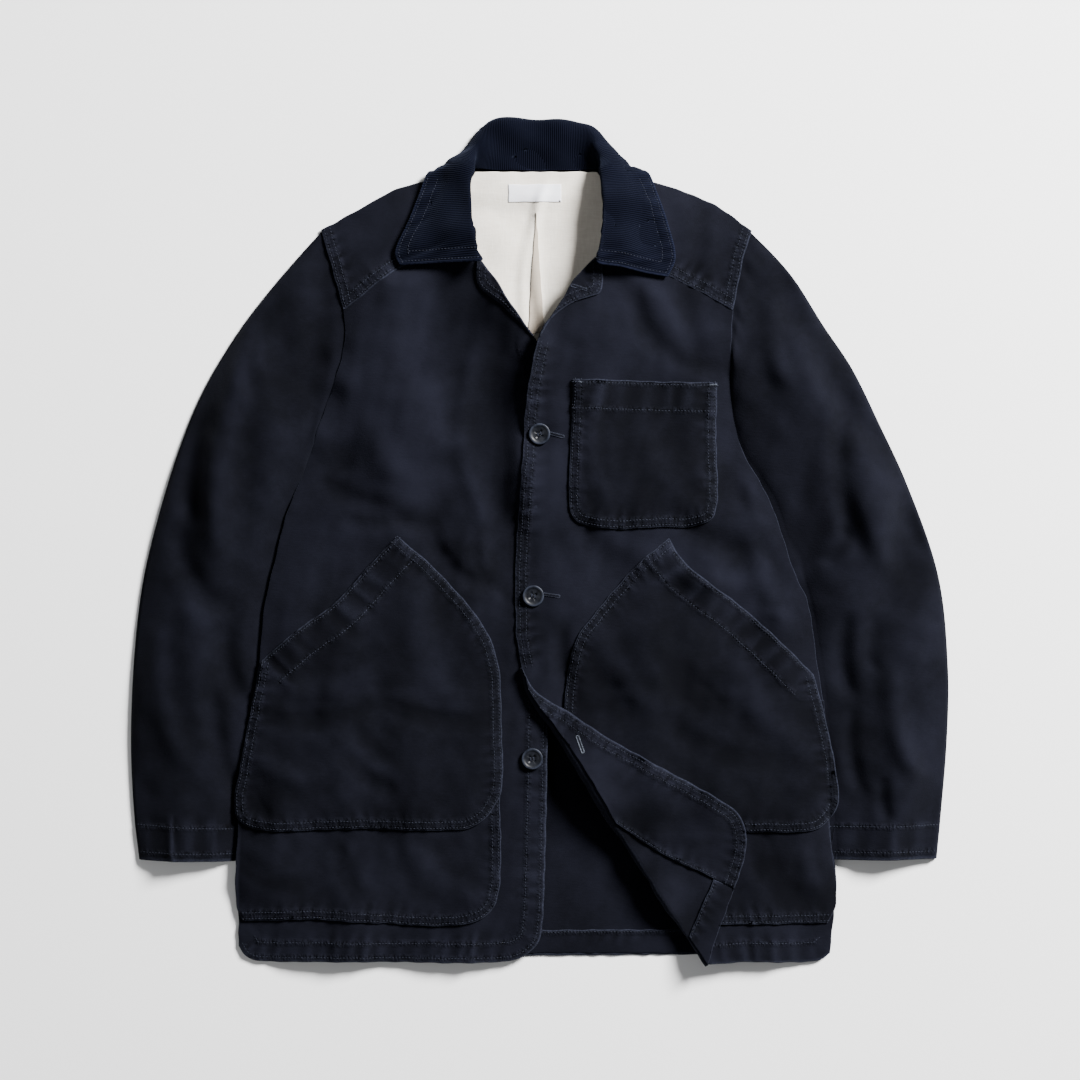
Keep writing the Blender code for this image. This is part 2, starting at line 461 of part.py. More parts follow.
class PlanMap:
    """Triangles over the whole plan, with every outline among their edges."""

    def __init__(self):
        edges, numbers = [], {}
        for run in RUNS.values():
            ids = [numbers.setdefault(tuple(np.round(place, 3)), len(numbers)) for place in run]
            edges += list(zip(ids, ids[1:]))
        points = [Vector(place) for place in (*numbers, *self.lattice())]
        places, _, faces, *_ = delaunay_2d_cdt(points, edges, [], 0, MERGE)
        self.places = np.array([tuple(place) for place in places])
        self.faces = np.array([tuple(face) for face in faces])
        a, b, c = (self.places[self.faces[:, corner]] for corner in range(3))
        turned = (b[:, 0] - a[:, 0]) * (c[:, 1] - a[:, 1]) - (b[:, 1] - a[:, 1]) * (c[:, 0] - a[:, 0]) < 0
        self.faces[turned] = self.faces[turned][:, ::-1]
        self.middles = self.places[self.faces].mean(axis=1)
        self.x, self.y = self.places.T

    @staticmethod
    def lattice():
        """Places on two three-sided lattices, a fine one about the neck, clear of every run."""
        kept = []
        neck = np.vstack([RUNS[f"{run}_{side}"]
                          for run in ("neck_yoke", "break") for side in ("right", "left")])
        for spacing, near_neck in ((LATTICE, False), (NECK_LATTICE, True)):
            rows = np.arange(-BEYOND, BEYOND, spacing * math.sqrt(3) / 2)
            grid = np.array([(x + (row % 2) * spacing / 2, y) for row, y in enumerate(rows)
                             for x in np.arange(-BEYOND, BEYOND, spacing)])
            x, y = grid.T
            to_neck = np.min(np.hypot(x[:, None] - neck[:, 0], y[:, None] - neck[:, 1]), axis=1)
            clear = np.min([distance_to(run, x, y) for run in RUNS.values()], axis=0) > EDGE_CLEAR * spacing
            within = np.any([inside(OUTLINES[name], x, y) for name in PLAN_PIECES], axis=0)
            kept.append(grid[clear & within & ((to_neck < NECK_REACH) == near_neck)])
        return np.vstack(kept)

    def cut(self, *outlines):
        """The faces that lie inside every one of these outlines."""
        x, y = self.middles.T
        return self.faces[np.all([inside(outline, x, y) for outline in outlines], axis=0)]

    def height_at(self, heights, x, y):
        """A sheet's height at one place, on its facets."""
        a, b, c = (self.places[self.faces[:, corner]] for corner in range(3))
        whole = (b[:, 0] - a[:, 0]) * (c[:, 1] - a[:, 1]) - (b[:, 1] - a[:, 1]) * (c[:, 0] - a[:, 0])
        second = ((x - a[:, 0]) * (c[:, 1] - a[:, 1]) - (y - a[:, 1]) * (c[:, 0] - a[:, 0])) / whole
        third = ((b[:, 0] - a[:, 0]) * (y - a[:, 1]) - (b[:, 1] - a[:, 1]) * (x - a[:, 0])) / whole
        found = int(np.argmax(np.minimum(np.minimum(second, third), 1 - second - third)))
        za, zb, zc = heights[self.faces[found]]
        return za + (zb - za) * second[found] + (zc - za) * third[found]


def rim_of(faces):
    """A sheet's boundary edges, each in the direction that keeps the sheet on its left."""
    edges = {(int(a), int(b)) for face in faces for a, b in zip(face, np.roll(face, -1))}
    return [edge for edge in sorted(edges) if edge[::-1] not in edges]


class ClothSolid:
    """One closed solid, made of sheets of the plan map and the rolled folds that join them."""

    def __init__(self, plan, wall):
        self.plan, self.wall = plan, wall
        self.points, self.faces, self.sheets = [], [], []

    def point(self, x, y, z):
        self.points.append((x, y, z))
        return len(self.points) - 1

    def sheet(self, faces, bottom, folds=()):
        """Adds a sheet with its underside at bottom, a height for each place of the map. A fold has no rim."""
        rim = rim_of(faces)
        pull = {}
        for a, b in rim:
            way = self.plan.places[b] - self.plan.places[a]
            inward = np.array((-way[1], way[0])) / max(np.hypot(*way), SMALL)
            for end in (a, b):
                pull[end] = pull.get(end, np.zeros(2)) + inward
        folded = {place for fold in folds for place in fold}
        low, high = {}, {}
        for place in np.unique(faces):
            spot = self.plan.places[place]
            if place in pull and place not in folded:
                spot = spot + pull[place] / max(np.hypot(*pull[place]), SMALL) * SEAM_GAP / 2
            low[place] = self.point(*spot, bottom[place])
            high[place] = self.point(*spot, bottom[place] + self.wall)
        for a, b, c in faces:
            self.faces += [(high[a], high[b], high[c]), (low[c], low[b], low[a])]
        edges_folded = {edge for fold in folds for edge in zip(fold, fold[1:])}
        for a, b in rim:
            if (a, b) not in edges_folded:
                self.faces.append((low[a], low[b], high[b], high[a]))
        self.sheets.append((low, high))

    def roll(self, fold, steps):
        """Joins the first and the last sheet along a fold, a chain of places with the cloth on its left."""
        (low, high), (upper_low, upper_high) = self.sheets[0], self.sheets[-1]
        outer, inner = [], []
        for number, place in enumerate(fold):
            before, after = fold[max(number - 1, 0)], fold[min(number + 1, len(fold) - 1)]
            way = self.plan.places[after] - self.plan.places[before]
            outward = np.array((way[1], -way[0])) / np.hypot(*way)
            spans = ((low[place], upper_high[place]), (high[place], upper_low[place]))
            for rows, (start, end) in zip((outer, inner), spans):
                z0, z1 = self.points[start][2], self.points[end][2]
                row = [start]
                for step in range(1, steps):
                    turn = math.pi * step / steps
                    x, y = self.plan.places[place] + outward * (z1 - z0) / 2 * math.sin(turn)
                    row.append(self.point(x, y, (z0 + z1) / 2 - (z1 - z0) / 2 * math.cos(turn)))
                rows.append(row + [end])
        for k in range(len(fold) - 1):
            for j in range(steps):
                self.faces.append((outer[k][j], outer[k + 1][j], outer[k + 1][j + 1], outer[k][j + 1]))
                self.faces.append((inner[k][j], inner[k][j + 1], inner[k + 1][j + 1], inner[k + 1][j]))
        for j in range(steps):
            self.faces.append((inner[0][j], outer[0][j], outer[0][j + 1], inner[0][j + 1]))
            self.faces.append((outer[-1][j], inner[-1][j], inner[-1][j + 1], outer[-1][j + 1]))


def chain(plan, faces, *runs):
    """The places of a sheet's rim that lie on some runs, in the rim's own direction."""
    line = joined_open([RUNS[run] for run in runs])
    after = {}
    for a, b in rim_of(faces):
        spots = plan.places[[a, b]]
        if distance_to(line, spots[:, 0], spots[:, 1]).max() < ON_RUN:
            middle = spots.mean(axis=0)[None]
            if distance_to(line, middle[:, 0], middle[:, 1])[0] < ON_RUN:
                after[a] = b
    start = next(iter(set(after) - set(after.values())))
    found = [start]
    while found[-1] in after:
        found.append(after[found[-1]])
    return found


def joined_open(runs):
    """Runs laid end to end as one open run."""
    return np.vstack([runs[0]] + [run[1:] for run in runs[1:]])


# Objects.

def make_material(name):
    colour, roughness, metallic = MATERIALS[name]
    material = bpy.data.materials.new(name)
    material.use_nodes = True
    shader = material.node_tree.nodes["Principled BSDF"]
    shader.inputs["Base Color"].default_value = (*colour, 1.0)
    shader.inputs["Roughness"].default_value = roughness
    shader.inputs["Metallic"].default_value = metallic
    return material


def make_object(name, points, faces, material):
    """An object from points in millimetres, with its faces pointing out."""
    mesh = bpy.data.meshes.new(name)
    mesh.from_pydata([Vector(point) * MM for point in points], [], [tuple(map(int, face)) for face in faces])
    work = bmesh.new()
    work.from_mesh(mesh)
    bmesh.ops.triangulate(work, faces=[face for face in work.faces if len(face.verts) > 3])
    if work.calc_volume(signed=True) < 0:
        bmesh.ops.reverse_faces(work, faces=work.faces)
    work.to_mesh(mesh)
    work.free()
    mesh.materials.append(material)
    obj = bpy.data.objects.new(name, mesh)
    bpy.context.scene.collection.objects.link(obj)
    return obj


def make_sheet(plan, name, bottom, wall, material, *clips):
    """A flat piece of one layer."""
    solid = ClothSolid(plan, wall)
    solid.sheet(plan.cut(OUTLINES[name], *clips), bottom)
    make_object(name, solid.points, solid.faces, material)


def make_yoke(plan, bottoms, material):
    """The yoke: one piece under the neck that folds forward over both shoulders."""
    solid = ClothSolid(plan, CANVAS)
    under = plan.cut(OUTLINES["yoke_back"])
    folds = {side: chain(plan, under, f"shoulder_{side}") for side in ("right", "left")}
    solid.sheet(under, bottoms["back"], folds.values())
    for side, fold in folds.items():
        solid.sheet(plan.cut(OUTLINES[f"yoke_front_{side}"]), bottoms[f"front_{side}"], [fold])
        solid.roll(fold, SHOULDER_STEPS)
    make_object("yoke", solid.points, solid.faces, material)


def make_front_left(plan, bottoms, material):
    """The over front, with its lower corner turned back along a rolled fold."""
    solid = ClothSolid(plan, CANVAS)
    base = plan.cut(OUTLINES["front_left"])
    fold = chain(plan, base, "fold_high", "fold_middle", "fold_low")
    solid.sheet(base, bottoms["front_left"], [fold])
    solid.sheet(plan.cut(OUTLINES["flap"]), bottoms["flap"], [fold])
    solid.roll(fold, ROLL_STEPS)
    make_object("front_left", solid.points, solid.faces, material)


def make_sleeve(side, table, front_top, material):
    """A sleeve: one flattened tube from the armhole to the cuff, open at both."""
    armhole = joined_open([RUNS[f"armhole_{side}_high"], RUNS[f"armhole_{side}_low"]])
    outward = np.array((-1.0 if side == "right" else 1.0, 0.0))
    share = np.concatenate(([0], np.cumsum(np.linalg.norm(np.diff(armhole, axis=0), axis=1))))
    share /= share[-1]
    chord = armhole[0] + share[:, None] * (armhole[-1] - armhole[0])
    outer, inner = [], []
    top = front_top(*armhole.T)
    rows = [(armhole + outward * SEAM_GAP, top)]
    for number, (outer_x, outer_y, inner_x, inner_y, tuck, puff) in enumerate(table):
        ends = np.array(((outer_x, outer_y), (inner_x, inner_y)), dtype=float)
        bow = SLEEVE_BOW[number] if number < len(SLEEVE_BOW) else 0.0
        open_share = min(share[-2], 1 - tuck / np.linalg.norm(ends[1] - ends[0]))
        across = np.append(share[:-1] * open_share / share[-2], 1.0)
        line = ends[0] + across[:, None] * (ends[1] - ends[0]) + bow * (armhole - chord)
        dome = np.sin(math.pi * np.clip(across / open_share, 0, 1) ** (math.log(0.5) / math.log(SLEEVE_PEAK)))
        rows.append((line, SLEEVE_FLAT + puff * dome))
    for line, top in rows:
        inset = line.copy()
        across = (line[-1] - line[0]) / np.linalg.norm(line[-1] - line[0])
        inset[0] += across * CANVAS
        inset[-1] -= across * CANVAS
        floor = np.zeros(len(line))
        outer.append(np.vstack((np.column_stack((line, floor)), np.column_stack((line, top))[::-1])))
        inner.append(np.vstack((np.column_stack((inset, floor + CANVAS)),
                                np.column_stack((inset, top - CANVAS))[::-1])))
    make_tube(f"sleeve_{side}", outer, inner, material)


def make_tube(name, outer, inner, material):
    """A walled tube from loops of points, outer and inner, ring by ring."""
    around, rings = len(outer[0]), len(outer)
    points = np.vstack(outer + inner)
    skin = rings * around
    faces = []
    for ring in range(rings - 1):
        for j in range(around):
            a, b = ring * around + j, ring * around + (j + 1) % around
            faces.append((a, b, b + around, a + around))
            faces.append((skin + a, skin + a + around, skin + b + around, skin + b))
    for ring, flip in ((0, False), (rings - 1, True)):
        for j in range(around):
            a, b = ring * around + j, ring * around + (j + 1) % around
            rim = (a, skin + a, skin + b, b)
            faces.append(rim[::-1] if flip else rim)
    make_object(name, points, faces, material)


def make_collar(material):
    """The collar: a rolled band whose leaves lie on the fronts and whose fall lies under the back."""
    grid = np.array([spaced(fine_curve(station), COLLAR_ROWS - 1) for station in COLLAR_STATIONS])
    grid[:, :, 2] = np.maximum(grid[:, :, 2], CORDUROY / 2)
    normals = np.cross(np.gradient(grid, axis=0), np.gradient(grid, axis=1))
    normals /= np.linalg.norm(normals, axis=2)[:, :, None]
    sides = [grid + normals * CORDUROY / 2, grid - normals * CORDUROY / 2]
    stations, rows = grid.shape[:2]
    number = np.arange(stations * rows).reshape(stations, rows)
    skin = stations * rows
    faces = []
    for i in range(stations - 1):
        for j in range(rows - 1):
            quad = (number[i, j], number[i + 1, j], number[i + 1, j + 1], number[i, j + 1])
            faces += [quad, tuple(skin + corner for corner in quad[::-1])]
    rim = [*number[0, :], *number[1:, -1], *number[-1, -2::-1], *number[-2:0:-1, 0]]
    for a, b in zip(rim, rim[1:] + rim[:1]):
        faces.append((a, b, skin + b, skin + a))
    make_object("collar", np.vstack([side.reshape(-1, 3) for side in sides]), faces, material)


def make_button(number, place, floor, material):
    """A turned button with a raised rim and four bored holes, lying on its front."""
    rim, floor_height = BUTTON_RADIUS - BUTTON_RIM, BUTTON_HEIGHT - BUTTON_DISH
    profile = ((0.0, 0.0), (BUTTON_RADIUS - BUTTON_ROUND, 0.0), (BUTTON_RADIUS, BUTTON_ROUND),
               (BUTTON_RADIUS, BUTTON_HEIGHT - BUTTON_ROUND), (BUTTON_RADIUS - BUTTON_ROUND, BUTTON_HEIGHT),
               (rim, BUTTON_HEIGHT - BUTTON_ARRIS), (rim - BUTTON_ROUND, floor_height), (0.0, floor_height))
    button = make_object(f"button_{number}", *turned(profile, BUTTON_SIDES, place, floor), material)
    low, high = -BUTTON_ROUND, BUTTON_HEIGHT + BUTTON_ROUND
    bore = ((0.0, low), (HOLE_RADIUS, low), (HOLE_RADIUS, high), (0.0, high))
    points, faces = [], []
    for turn in range(HOLES):
        angle = (turn + 0.5) * 2 * math.pi / HOLES
        spot = (place[0] + HOLE_SPREAD * math.cos(angle), place[1] + HOLE_SPREAD * math.sin(angle))
        more_points, more_faces = turned(bore, HOLE_SIDES, spot, floor)
        faces += [tuple(len(points) + corner for corner in face) for face in more_faces]
        points += more_points
    cutter = make_object(f"button_{number}_holes", points, faces, material)
    cutter.hide_render = True
    cutter.display_type = "WIRE"
    cut = button.modifiers.new("holes", "BOOLEAN")
    cut.operation = "DIFFERENCE"
    cut.solver = "EXACT"
    cut.object = cutter


def turned(profile, sides, place, floor):
    """A solid of revolution from (radius, height) pairs that start and end on the axis."""
    middle = profile[1:-1]
    points = [(place[0], place[1], floor + profile[0][1])]
    for radius, height in middle:
        for k in range(sides):
            angle = 2 * math.pi * k / sides
            spot = (place[0] + radius * math.cos(angle), place[1] + radius * math.sin(angle))
            points.append((*spot, floor + height))
    points.append((place[0], place[1], floor + profile[-1][1]))
    faces = []
    for k in range(sides):
        after = (k + 1) % sides
        faces.append((0, 1 + after, 1 + k))
        for level in range(len(middle) - 1):
            a, b = 1 + level * sides, 1 + (level + 1) * sides
            faces.append((a + k, a + after, b + after, b + k))
        last = 1 + (len(middle) - 1) * sides
        faces.append((last + k, last + after, len(points) - 1))
    return points, faces


def seat_of(plan, heights, place):
    """The highest point of a sheet's facets under a button."""
    spots = [place] + [(place[0] + BUTTON_RADIUS * math.cos(a), place[1] + BUTTON_RADIUS * math.sin(a))
                       for a in np.linspace(0, 2 * math.pi, BUTTON_SIDES, endpoint=False)]
    return max(plan.height_at(heights, x, y) for x, y in spots)


def build():
    for obj in list(bpy.data.objects):
        bpy.data.objects.remove(obj, do_unlink=True)
    materials = {name: make_material(name) for name in MATERIALS}
    canvas = materials["navy_canvas"]
    plan = PlanMap()
    x, y = plan.x, plan.y
    bottoms = {"back": back_bottom(x, y), "front_right": front_right_bottom(x, y),
               "front_left": front_left_bottom(x, y), "flap": flap_bottom(x, y)}

    make_sheet(plan, "back", bottoms["back"], CANVAS, canvas)
    make_yoke(plan, bottoms, canvas)
    make_sheet(plan, "front_right", bottoms["front_right"], CANVAS, canvas)
    make_front_left(plan, bottoms, canvas)
    for name in ("facing_left_corner", "hem_left_corner"):
        make_sheet(plan, name, bottoms["flap"] + LAYER, CANVAS, canvas)
    make_sheet(plan, "back_hem", bottoms["back"] + LAYER, CANVAS, canvas)
    make_sheet(plan, "lapel_right", bottoms["front_right"] + LAYER, CANVAS, canvas)
    make_sheet(plan, "lapel_left", bottoms["front_left"] + LAYER, CANVAS, canvas)

    make_sheet(plan, "chest_pocket", bottoms["front_left"] + LAYER, CANVAS, canvas)
    for side, clips in (("right", ()), ("left", (BEYOND_FOLD,))):
        make_sheet(plan, f"lower_pocket_{side}", lower_pocket_bottom(x, y, side), CANVAS, canvas, *clips)
        make_sheet(plan, f"waist_pocket_{side}", waist_pocket_bottom(x, y, side), CANVAS, canvas, *clips)

    lining = bottoms["back"] + LAYER
    make_sheet(plan, "lining", lining, LINING, materials["natural_lining"])
    make_sheet(plan, "lining_pleat", lining + LINING + SEAM_GAP, LINING, materials["natural_lining"])
    make_sheet(plan, "label", lining + LINING + SEAM_GAP, LABEL, materials["white_label"])

    make_sleeve("right", SLEEVE_RIGHT, lambda *at: front_right_bottom(*at) + CANVAS, canvas)
    make_sleeve("left", SLEEVE_LEFT, lambda *at: front_left_bottom(*at) + CANVAS, canvas)
    make_collar(materials["navy_corduroy"])

    for number, place in enumerate(BUTTON_PLACES, start=1):
        sheet = "front_right" if number == len(BUTTON_PLACES) else "front_left"
        floor = seat_of(plan, bottoms[sheet] + LAYER, place)
        make_button(number, place, floor, materials["navy_plastic"])


build()
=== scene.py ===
"""Looks of the hunting jacket that lies flat on its back: cloth, seams, creases, stitches, buttons and light.

Lengths are in millimetres, and MM turns them into the frame's metres. +Z is up, +Y runs from the hem to the
collar and +X towards the wearer's left. Every flat piece but the back is cut from one plan map, so that
pieces that lie on each other share their points. "low" is the underside of a piece and "high" its upper side.
"""

import functools
import math
import zlib

import bmesh
import bpy
import numpy as np
from bpy.props import FloatProperty, FloatVectorProperty, PointerProperty
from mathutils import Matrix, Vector
from mathutils.geometry import delaunay_2d_cdt
from mathutils.kdtree import KDTree


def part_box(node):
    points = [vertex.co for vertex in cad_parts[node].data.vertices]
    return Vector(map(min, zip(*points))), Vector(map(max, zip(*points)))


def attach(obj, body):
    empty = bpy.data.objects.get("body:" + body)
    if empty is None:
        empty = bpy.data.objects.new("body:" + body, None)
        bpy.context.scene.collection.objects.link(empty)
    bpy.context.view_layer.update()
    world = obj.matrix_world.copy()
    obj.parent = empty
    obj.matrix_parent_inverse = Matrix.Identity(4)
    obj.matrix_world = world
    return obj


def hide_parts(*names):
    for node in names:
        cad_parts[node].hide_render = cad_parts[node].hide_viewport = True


bl_info = {
    "name": "Hunting Jacket Laid Flat",
    "version": (1, 0, 0),
    "blender": (4, 5, 0),
    "location": "3D View > Sidebar > Jacket",
    "description": "Builds a buttoned canvas hunting jacket that lies flat on its back, piece by piece",
    "category": "Object",
}

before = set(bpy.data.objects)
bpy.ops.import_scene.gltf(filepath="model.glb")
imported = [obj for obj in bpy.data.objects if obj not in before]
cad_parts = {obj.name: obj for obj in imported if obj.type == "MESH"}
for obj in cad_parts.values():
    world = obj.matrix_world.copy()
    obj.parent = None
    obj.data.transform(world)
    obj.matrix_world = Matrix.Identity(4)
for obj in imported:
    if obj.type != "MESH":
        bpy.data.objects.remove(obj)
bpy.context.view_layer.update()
MM = 0.001

# Cloth walls, and how finely the cloth is cut into facets.
CANVAS = 1.4
LINING = 1.0
LABEL = 0.7
CORDUROY = 2.0
SEAM_GAP = 0.3
LAYER = CANVAS + SEAM_GAP
FINE_STEP = 3.0
MEDIUM_STEP = 9.0
LATTICE_NEAR = 3.1
LATTICE_FAR = 5.6
NEAR_EDGE = 12.0
BACK_LATTICE = 14.0
ROW_BESIDE = 1.3
RIM_STEPS = 5
FOLD_STEPS = 8
MERGE = 0.02
FAR_OFF = 100.0

# What a finish needs at a point: rubbed from 0 to 1, the nearest seam's number, how far along it and away
# from it, how far from that seam its first and second row of stitches are, and how much paler or darker the
# point is painted: painted light on the crests and painted shade in the troughs of its creases and puckers,
# with its piece's tone.
NO_SEAM = (0.0, 0.0, 0.0, FAR_OFF, 0.0, 0.0, 0.0)

# A face whose corners are this far apart along a seam doesn't show that seam, and a point this close to a run
# lies on it. SMALL keeps divisions from 0, CHUNK bounds the memory of one step, and BEYOND is off the plan.
ONE_SEAM = 60.0
ON_RUN = 0.05
SMALL = 1e-6
CHUNK = 4_000_000
BEYOND = 400.0

# How the layers stand apart: the hollow of the body, the sleeves' edges tucked under it, the collar's fall
# under the back, the raised neck and opening (by height, where it starts and over what length it grows), the
# overlap, the pockets and the turned corner.
BODY_HOLLOW = 10.0
HOLLOW_REACH = 40.0
HEM_HOLLOW = 0.75
HEM_REACH = 70.0
TUCK_RISE = 3.5
TUCK_WIDTH = 28.0
TUCK_RAMP = 30.0
TUCK_TOPS = {"side_right": 72.0, "side_left": 100.0}
TUCK_START = 45.0
TUCK_BOTTOM = -318.0
TUCK_END = 34.0
FALL_RISE = 2.9
FALL_RAMP = 20.0
LIFT = {"right": (13.0, 170.0, 70.0), "left": (18.0, 95.0, 90.0)}
LIFT_REACH = 52.0
SHOULDER_REACH = 25.0
OVERLAP_RAMP = 20.0
STACK_RAMP = 16.0
POCKET_PUFF = 2.5
POCKET_REACH = 35.0
POCKET_GAPE = 3.0
GAPE_REACH = 40.0
FLAP_ROLL_TOP = 4.0
FLAP_ROLL_HEM = 2.2
FLAP_REACH = 26.0

# The runs that the outlines are made of, as (x, y) points that a smooth curve passes through. Runs meet at
# corners. "right" and "left" are the wearer's.
RUN_POINTS = {
    "shoulder_right": (
        (-65, 363), (-82, 354), (-98, 348), (-114, 348), (-140, 341), (-173, 323), (-211, 302),
    ),
    "shoulder_left": ((59, 363), (78, 354), (94, 347), (110, 348), (132, 342), (172, 325), (205, 301)),
    "back_neck": ((-65, 363), (-30, 362), (28, 362), (59, 363)),
    "armhole_right_high": ((-211, 302), (-200, 264), (-189, 225)),
    "armhole_right_low": ((-189, 225), (-187, 204), (-191, 177), (-200, 149), (-212, 116), (-222, 86)),
    "armhole_left_high": ((205, 301), (198, 279), (192, 251), (187, 225)),
    "armhole_left_low": ((187, 225), (185, 192), (187, 159)),
    "side_right": (
        (-222, 86), (-232, 59), (-244, 29), (-255, -15), (-265, -57), (-271, -115), (-281, -191),
        (-288, -269), (-291, -334), (-291, -390),
    ),
    "side_left": (
        (187, 159), (186, 140), (190, 112), (199, 83), (209, 66), (226, 32), (246, -28), (259, -57),
        (268, -114), (277, -178), (280, -249), (281, -285), (287, -325), (284, -368), (281, -397),
    ),
    "back_hem": ((-291, -390), (-281, -399), (-135, -400), (6, -400), (149, -399), (271, -400), (281, -397)),
    "back_yoke_seam": ((-189, 225), (0, 222), (187, 225)),
    "neck_yoke_right": ((-65, 363), (-76, 345), (-79, 318), (-75, 287)),
    "neck_front_right": ((-75, 287), (-60, 276)),
    "break_right": ((-60, 276), (-44, 256), (-28, 230), (-2, 193)),
    "neck_yoke_left": ((59, 363), (70, 345), (74, 318), (70, 288)),
    "neck_front_left": ((70, 288), (60, 280)),
    "break_left": ((60, 280), (35, 255), (20, 230), (3, 206), (-2, 193)),
    "yoke_seam_right": ((-189, 225), (-170, 239), (-154, 252), (-135, 265), (-106, 278), (-75, 287)),
    "yoke_seam_left": ((187, 225), (161, 240), (132, 254), (102, 268), (70, 288)),
    "edge_right_hidden": ((-2, 193), (5, 168), (8, 119), (9, 42), (9, -55), (8, -152), (7, -230)),
    "edge_right_corner": ((7, -230), (5, -311), (3, -361), (0, -382), (-9, -395), (-26, -403), (-59, -405)),
    "hem_right": ((-59, -405), (-107, -405), (-217, -404), (-273, -404), (-285, -399), (-291, -390)),
    "edge_left": (
        (-2, 193), (-8, 166), (-14, 124), (-15, 97), (-18, 56), (-23, -20), (-23, -63), (-22, -91),
        (-17, -120),
    ),
    "fold_high": ((-17, -120), (-8, -146), (13, -174), (33, -201), (55, -236), (73, -269)),
    "fold_middle": ((73, -269), (91, -296), (107, -321), (126, -351), (144, -379)),
    "fold_low": ((144, -379), (162, -406)),
    "hem_left": ((162, -406), (201, -404), (236, -405), (270, -404), (281, -397)),
    "flap_front_edge": (
        (-17, -120), (-8, -137), (3, -148), (24, -160), (66, -187), (100, -206), (129, -222), (166, -242),
        (186, -255), (196, -268), (200, -285),
    ),
    "flap_hem_high": ((200, -285), (198, -305), (188, -334)),
    "flap_hem_low": ((188, -334), (177, -362), (169, -382), (162, -406)),
    "facing_inner": ((73, -269), (100, -288), (129, -305), (152, -316), (168, -324)),
    "facing_inner_end": ((168, -324), (188, -334)),
    "hem_turn_inner": ((144, -379), (156, -351), (168, -324)),
    "chest_top": ((32, 158), (172, 155)),
    "chest_sides": (
        (172, 155), (171, 104), (171, 35), (166, 23), (149, 16), (112, 15), (74, 13), (50, 16), (36, 20),
        (29, 33), (28, 53), (30, 104), (32, 158),
    ),
    "waist_opening_right": ((-137, 7), (-162, -19), (-200, -60), (-226, -78), (-251, -98), (-270, -115)),
    "waist_sides_right": (
        (-270, -115), (-278, -156), (-290, -219), (-295, -251), (-291, -268), (-278, -275), (-247, -278),
        (-184, -276), (-87, -277), (-66, -275), (-49, -262), (-38, -244), (-35, -219), (-36, -188),
        (-39, -120), (-47, -93), (-62, -68), (-83, -43), (-110, -16), (-137, 7),
    ),
    "waist_opening_left": (
        (125, 5), (138, -16), (161, -36), (196, -62), (224, -87), (245, -107), (265, -127),
    ),
    "waist_sides_left": (
        (265, -127), (273, -156), (284, -205), (289, -239), (289, -251), (277, -270), (263, -277),
        (156, -278), (78, -277), (49, -275), (30, -259), (22, -230), (22, -191), (24, -153), (28, -120),
        (36, -91), (52, -69), (72, -45), (98, -17), (125, 5),
    ),
    "lower_right": (
        (-37, -152), (-38, -257), (-37, -284), (-38, -328), (-42, -347), (-53, -361), (-75, -368),
        (-107, -370), (-162, -366), (-217, -364), (-287, -366),
    ),
    "lower_right_side": ((-287, -366), (-293, -352), (-291, -269), (-282, -191), (-274, -152)),
    "lower_right_top": ((-274, -152), (-37, -152)),
    "lower_left": ((30, -152), (30, -284), (32, -346), (44, -361), (78, -368), (182, -368), (279, -368)),
    "lower_left_side": ((279, -368), (287, -351), (286, -319), (281, -285), (279, -210), (275, -152)),
    "lower_left_top": ((275, -152), (30, -152)),
    "lapel_right": ((-2, 193), (-21, 213), (-40, 231), (-58, 246), (-61, 260), (-60, 276)),
    "lapel_left": ((-2, 193), (11, 214), (24, 226), (41, 234), (58, 240), (61, 252), (60, 280)),
    "lining_top": ((-62, 359), (56, 359)),
    "lining_edge": (
        (56, 359), (64, 345), (67, 318), (64, 285), (48, 250), (22, 214), (2, 176), (-14, 176), (-32, 214),
        (-52, 250), (-69, 285), (-73, 318), (-70, 345), (-62, 359),
    ),
    "fall_edge": ((-109, 352), (-94, 344), (-60, 340), (-4, 337), (54, 340), (90, 344), (106, 352)),
}
FOLD_TOP, FOLD_FOOT = RUN_POINTS["fold_high"][0], RUN_POINTS["fold_low"][-1]
FALL_TOP = ((106, 352), (70, 372), (-74, 372), (-109, 352))

# Pieces with straight sides, by their corners.
CORNERS = {
    "pleat": ((-3, 320), (0, 272), (5, 205), (-11, 201), (-7, 272)),
    "label": ((-30, 347), (21, 347), (21, 330), (-30, 330)),
    "back_hem_turn": ((-30, -375), (165, -374), (165, -397), (-30, -397)),
}

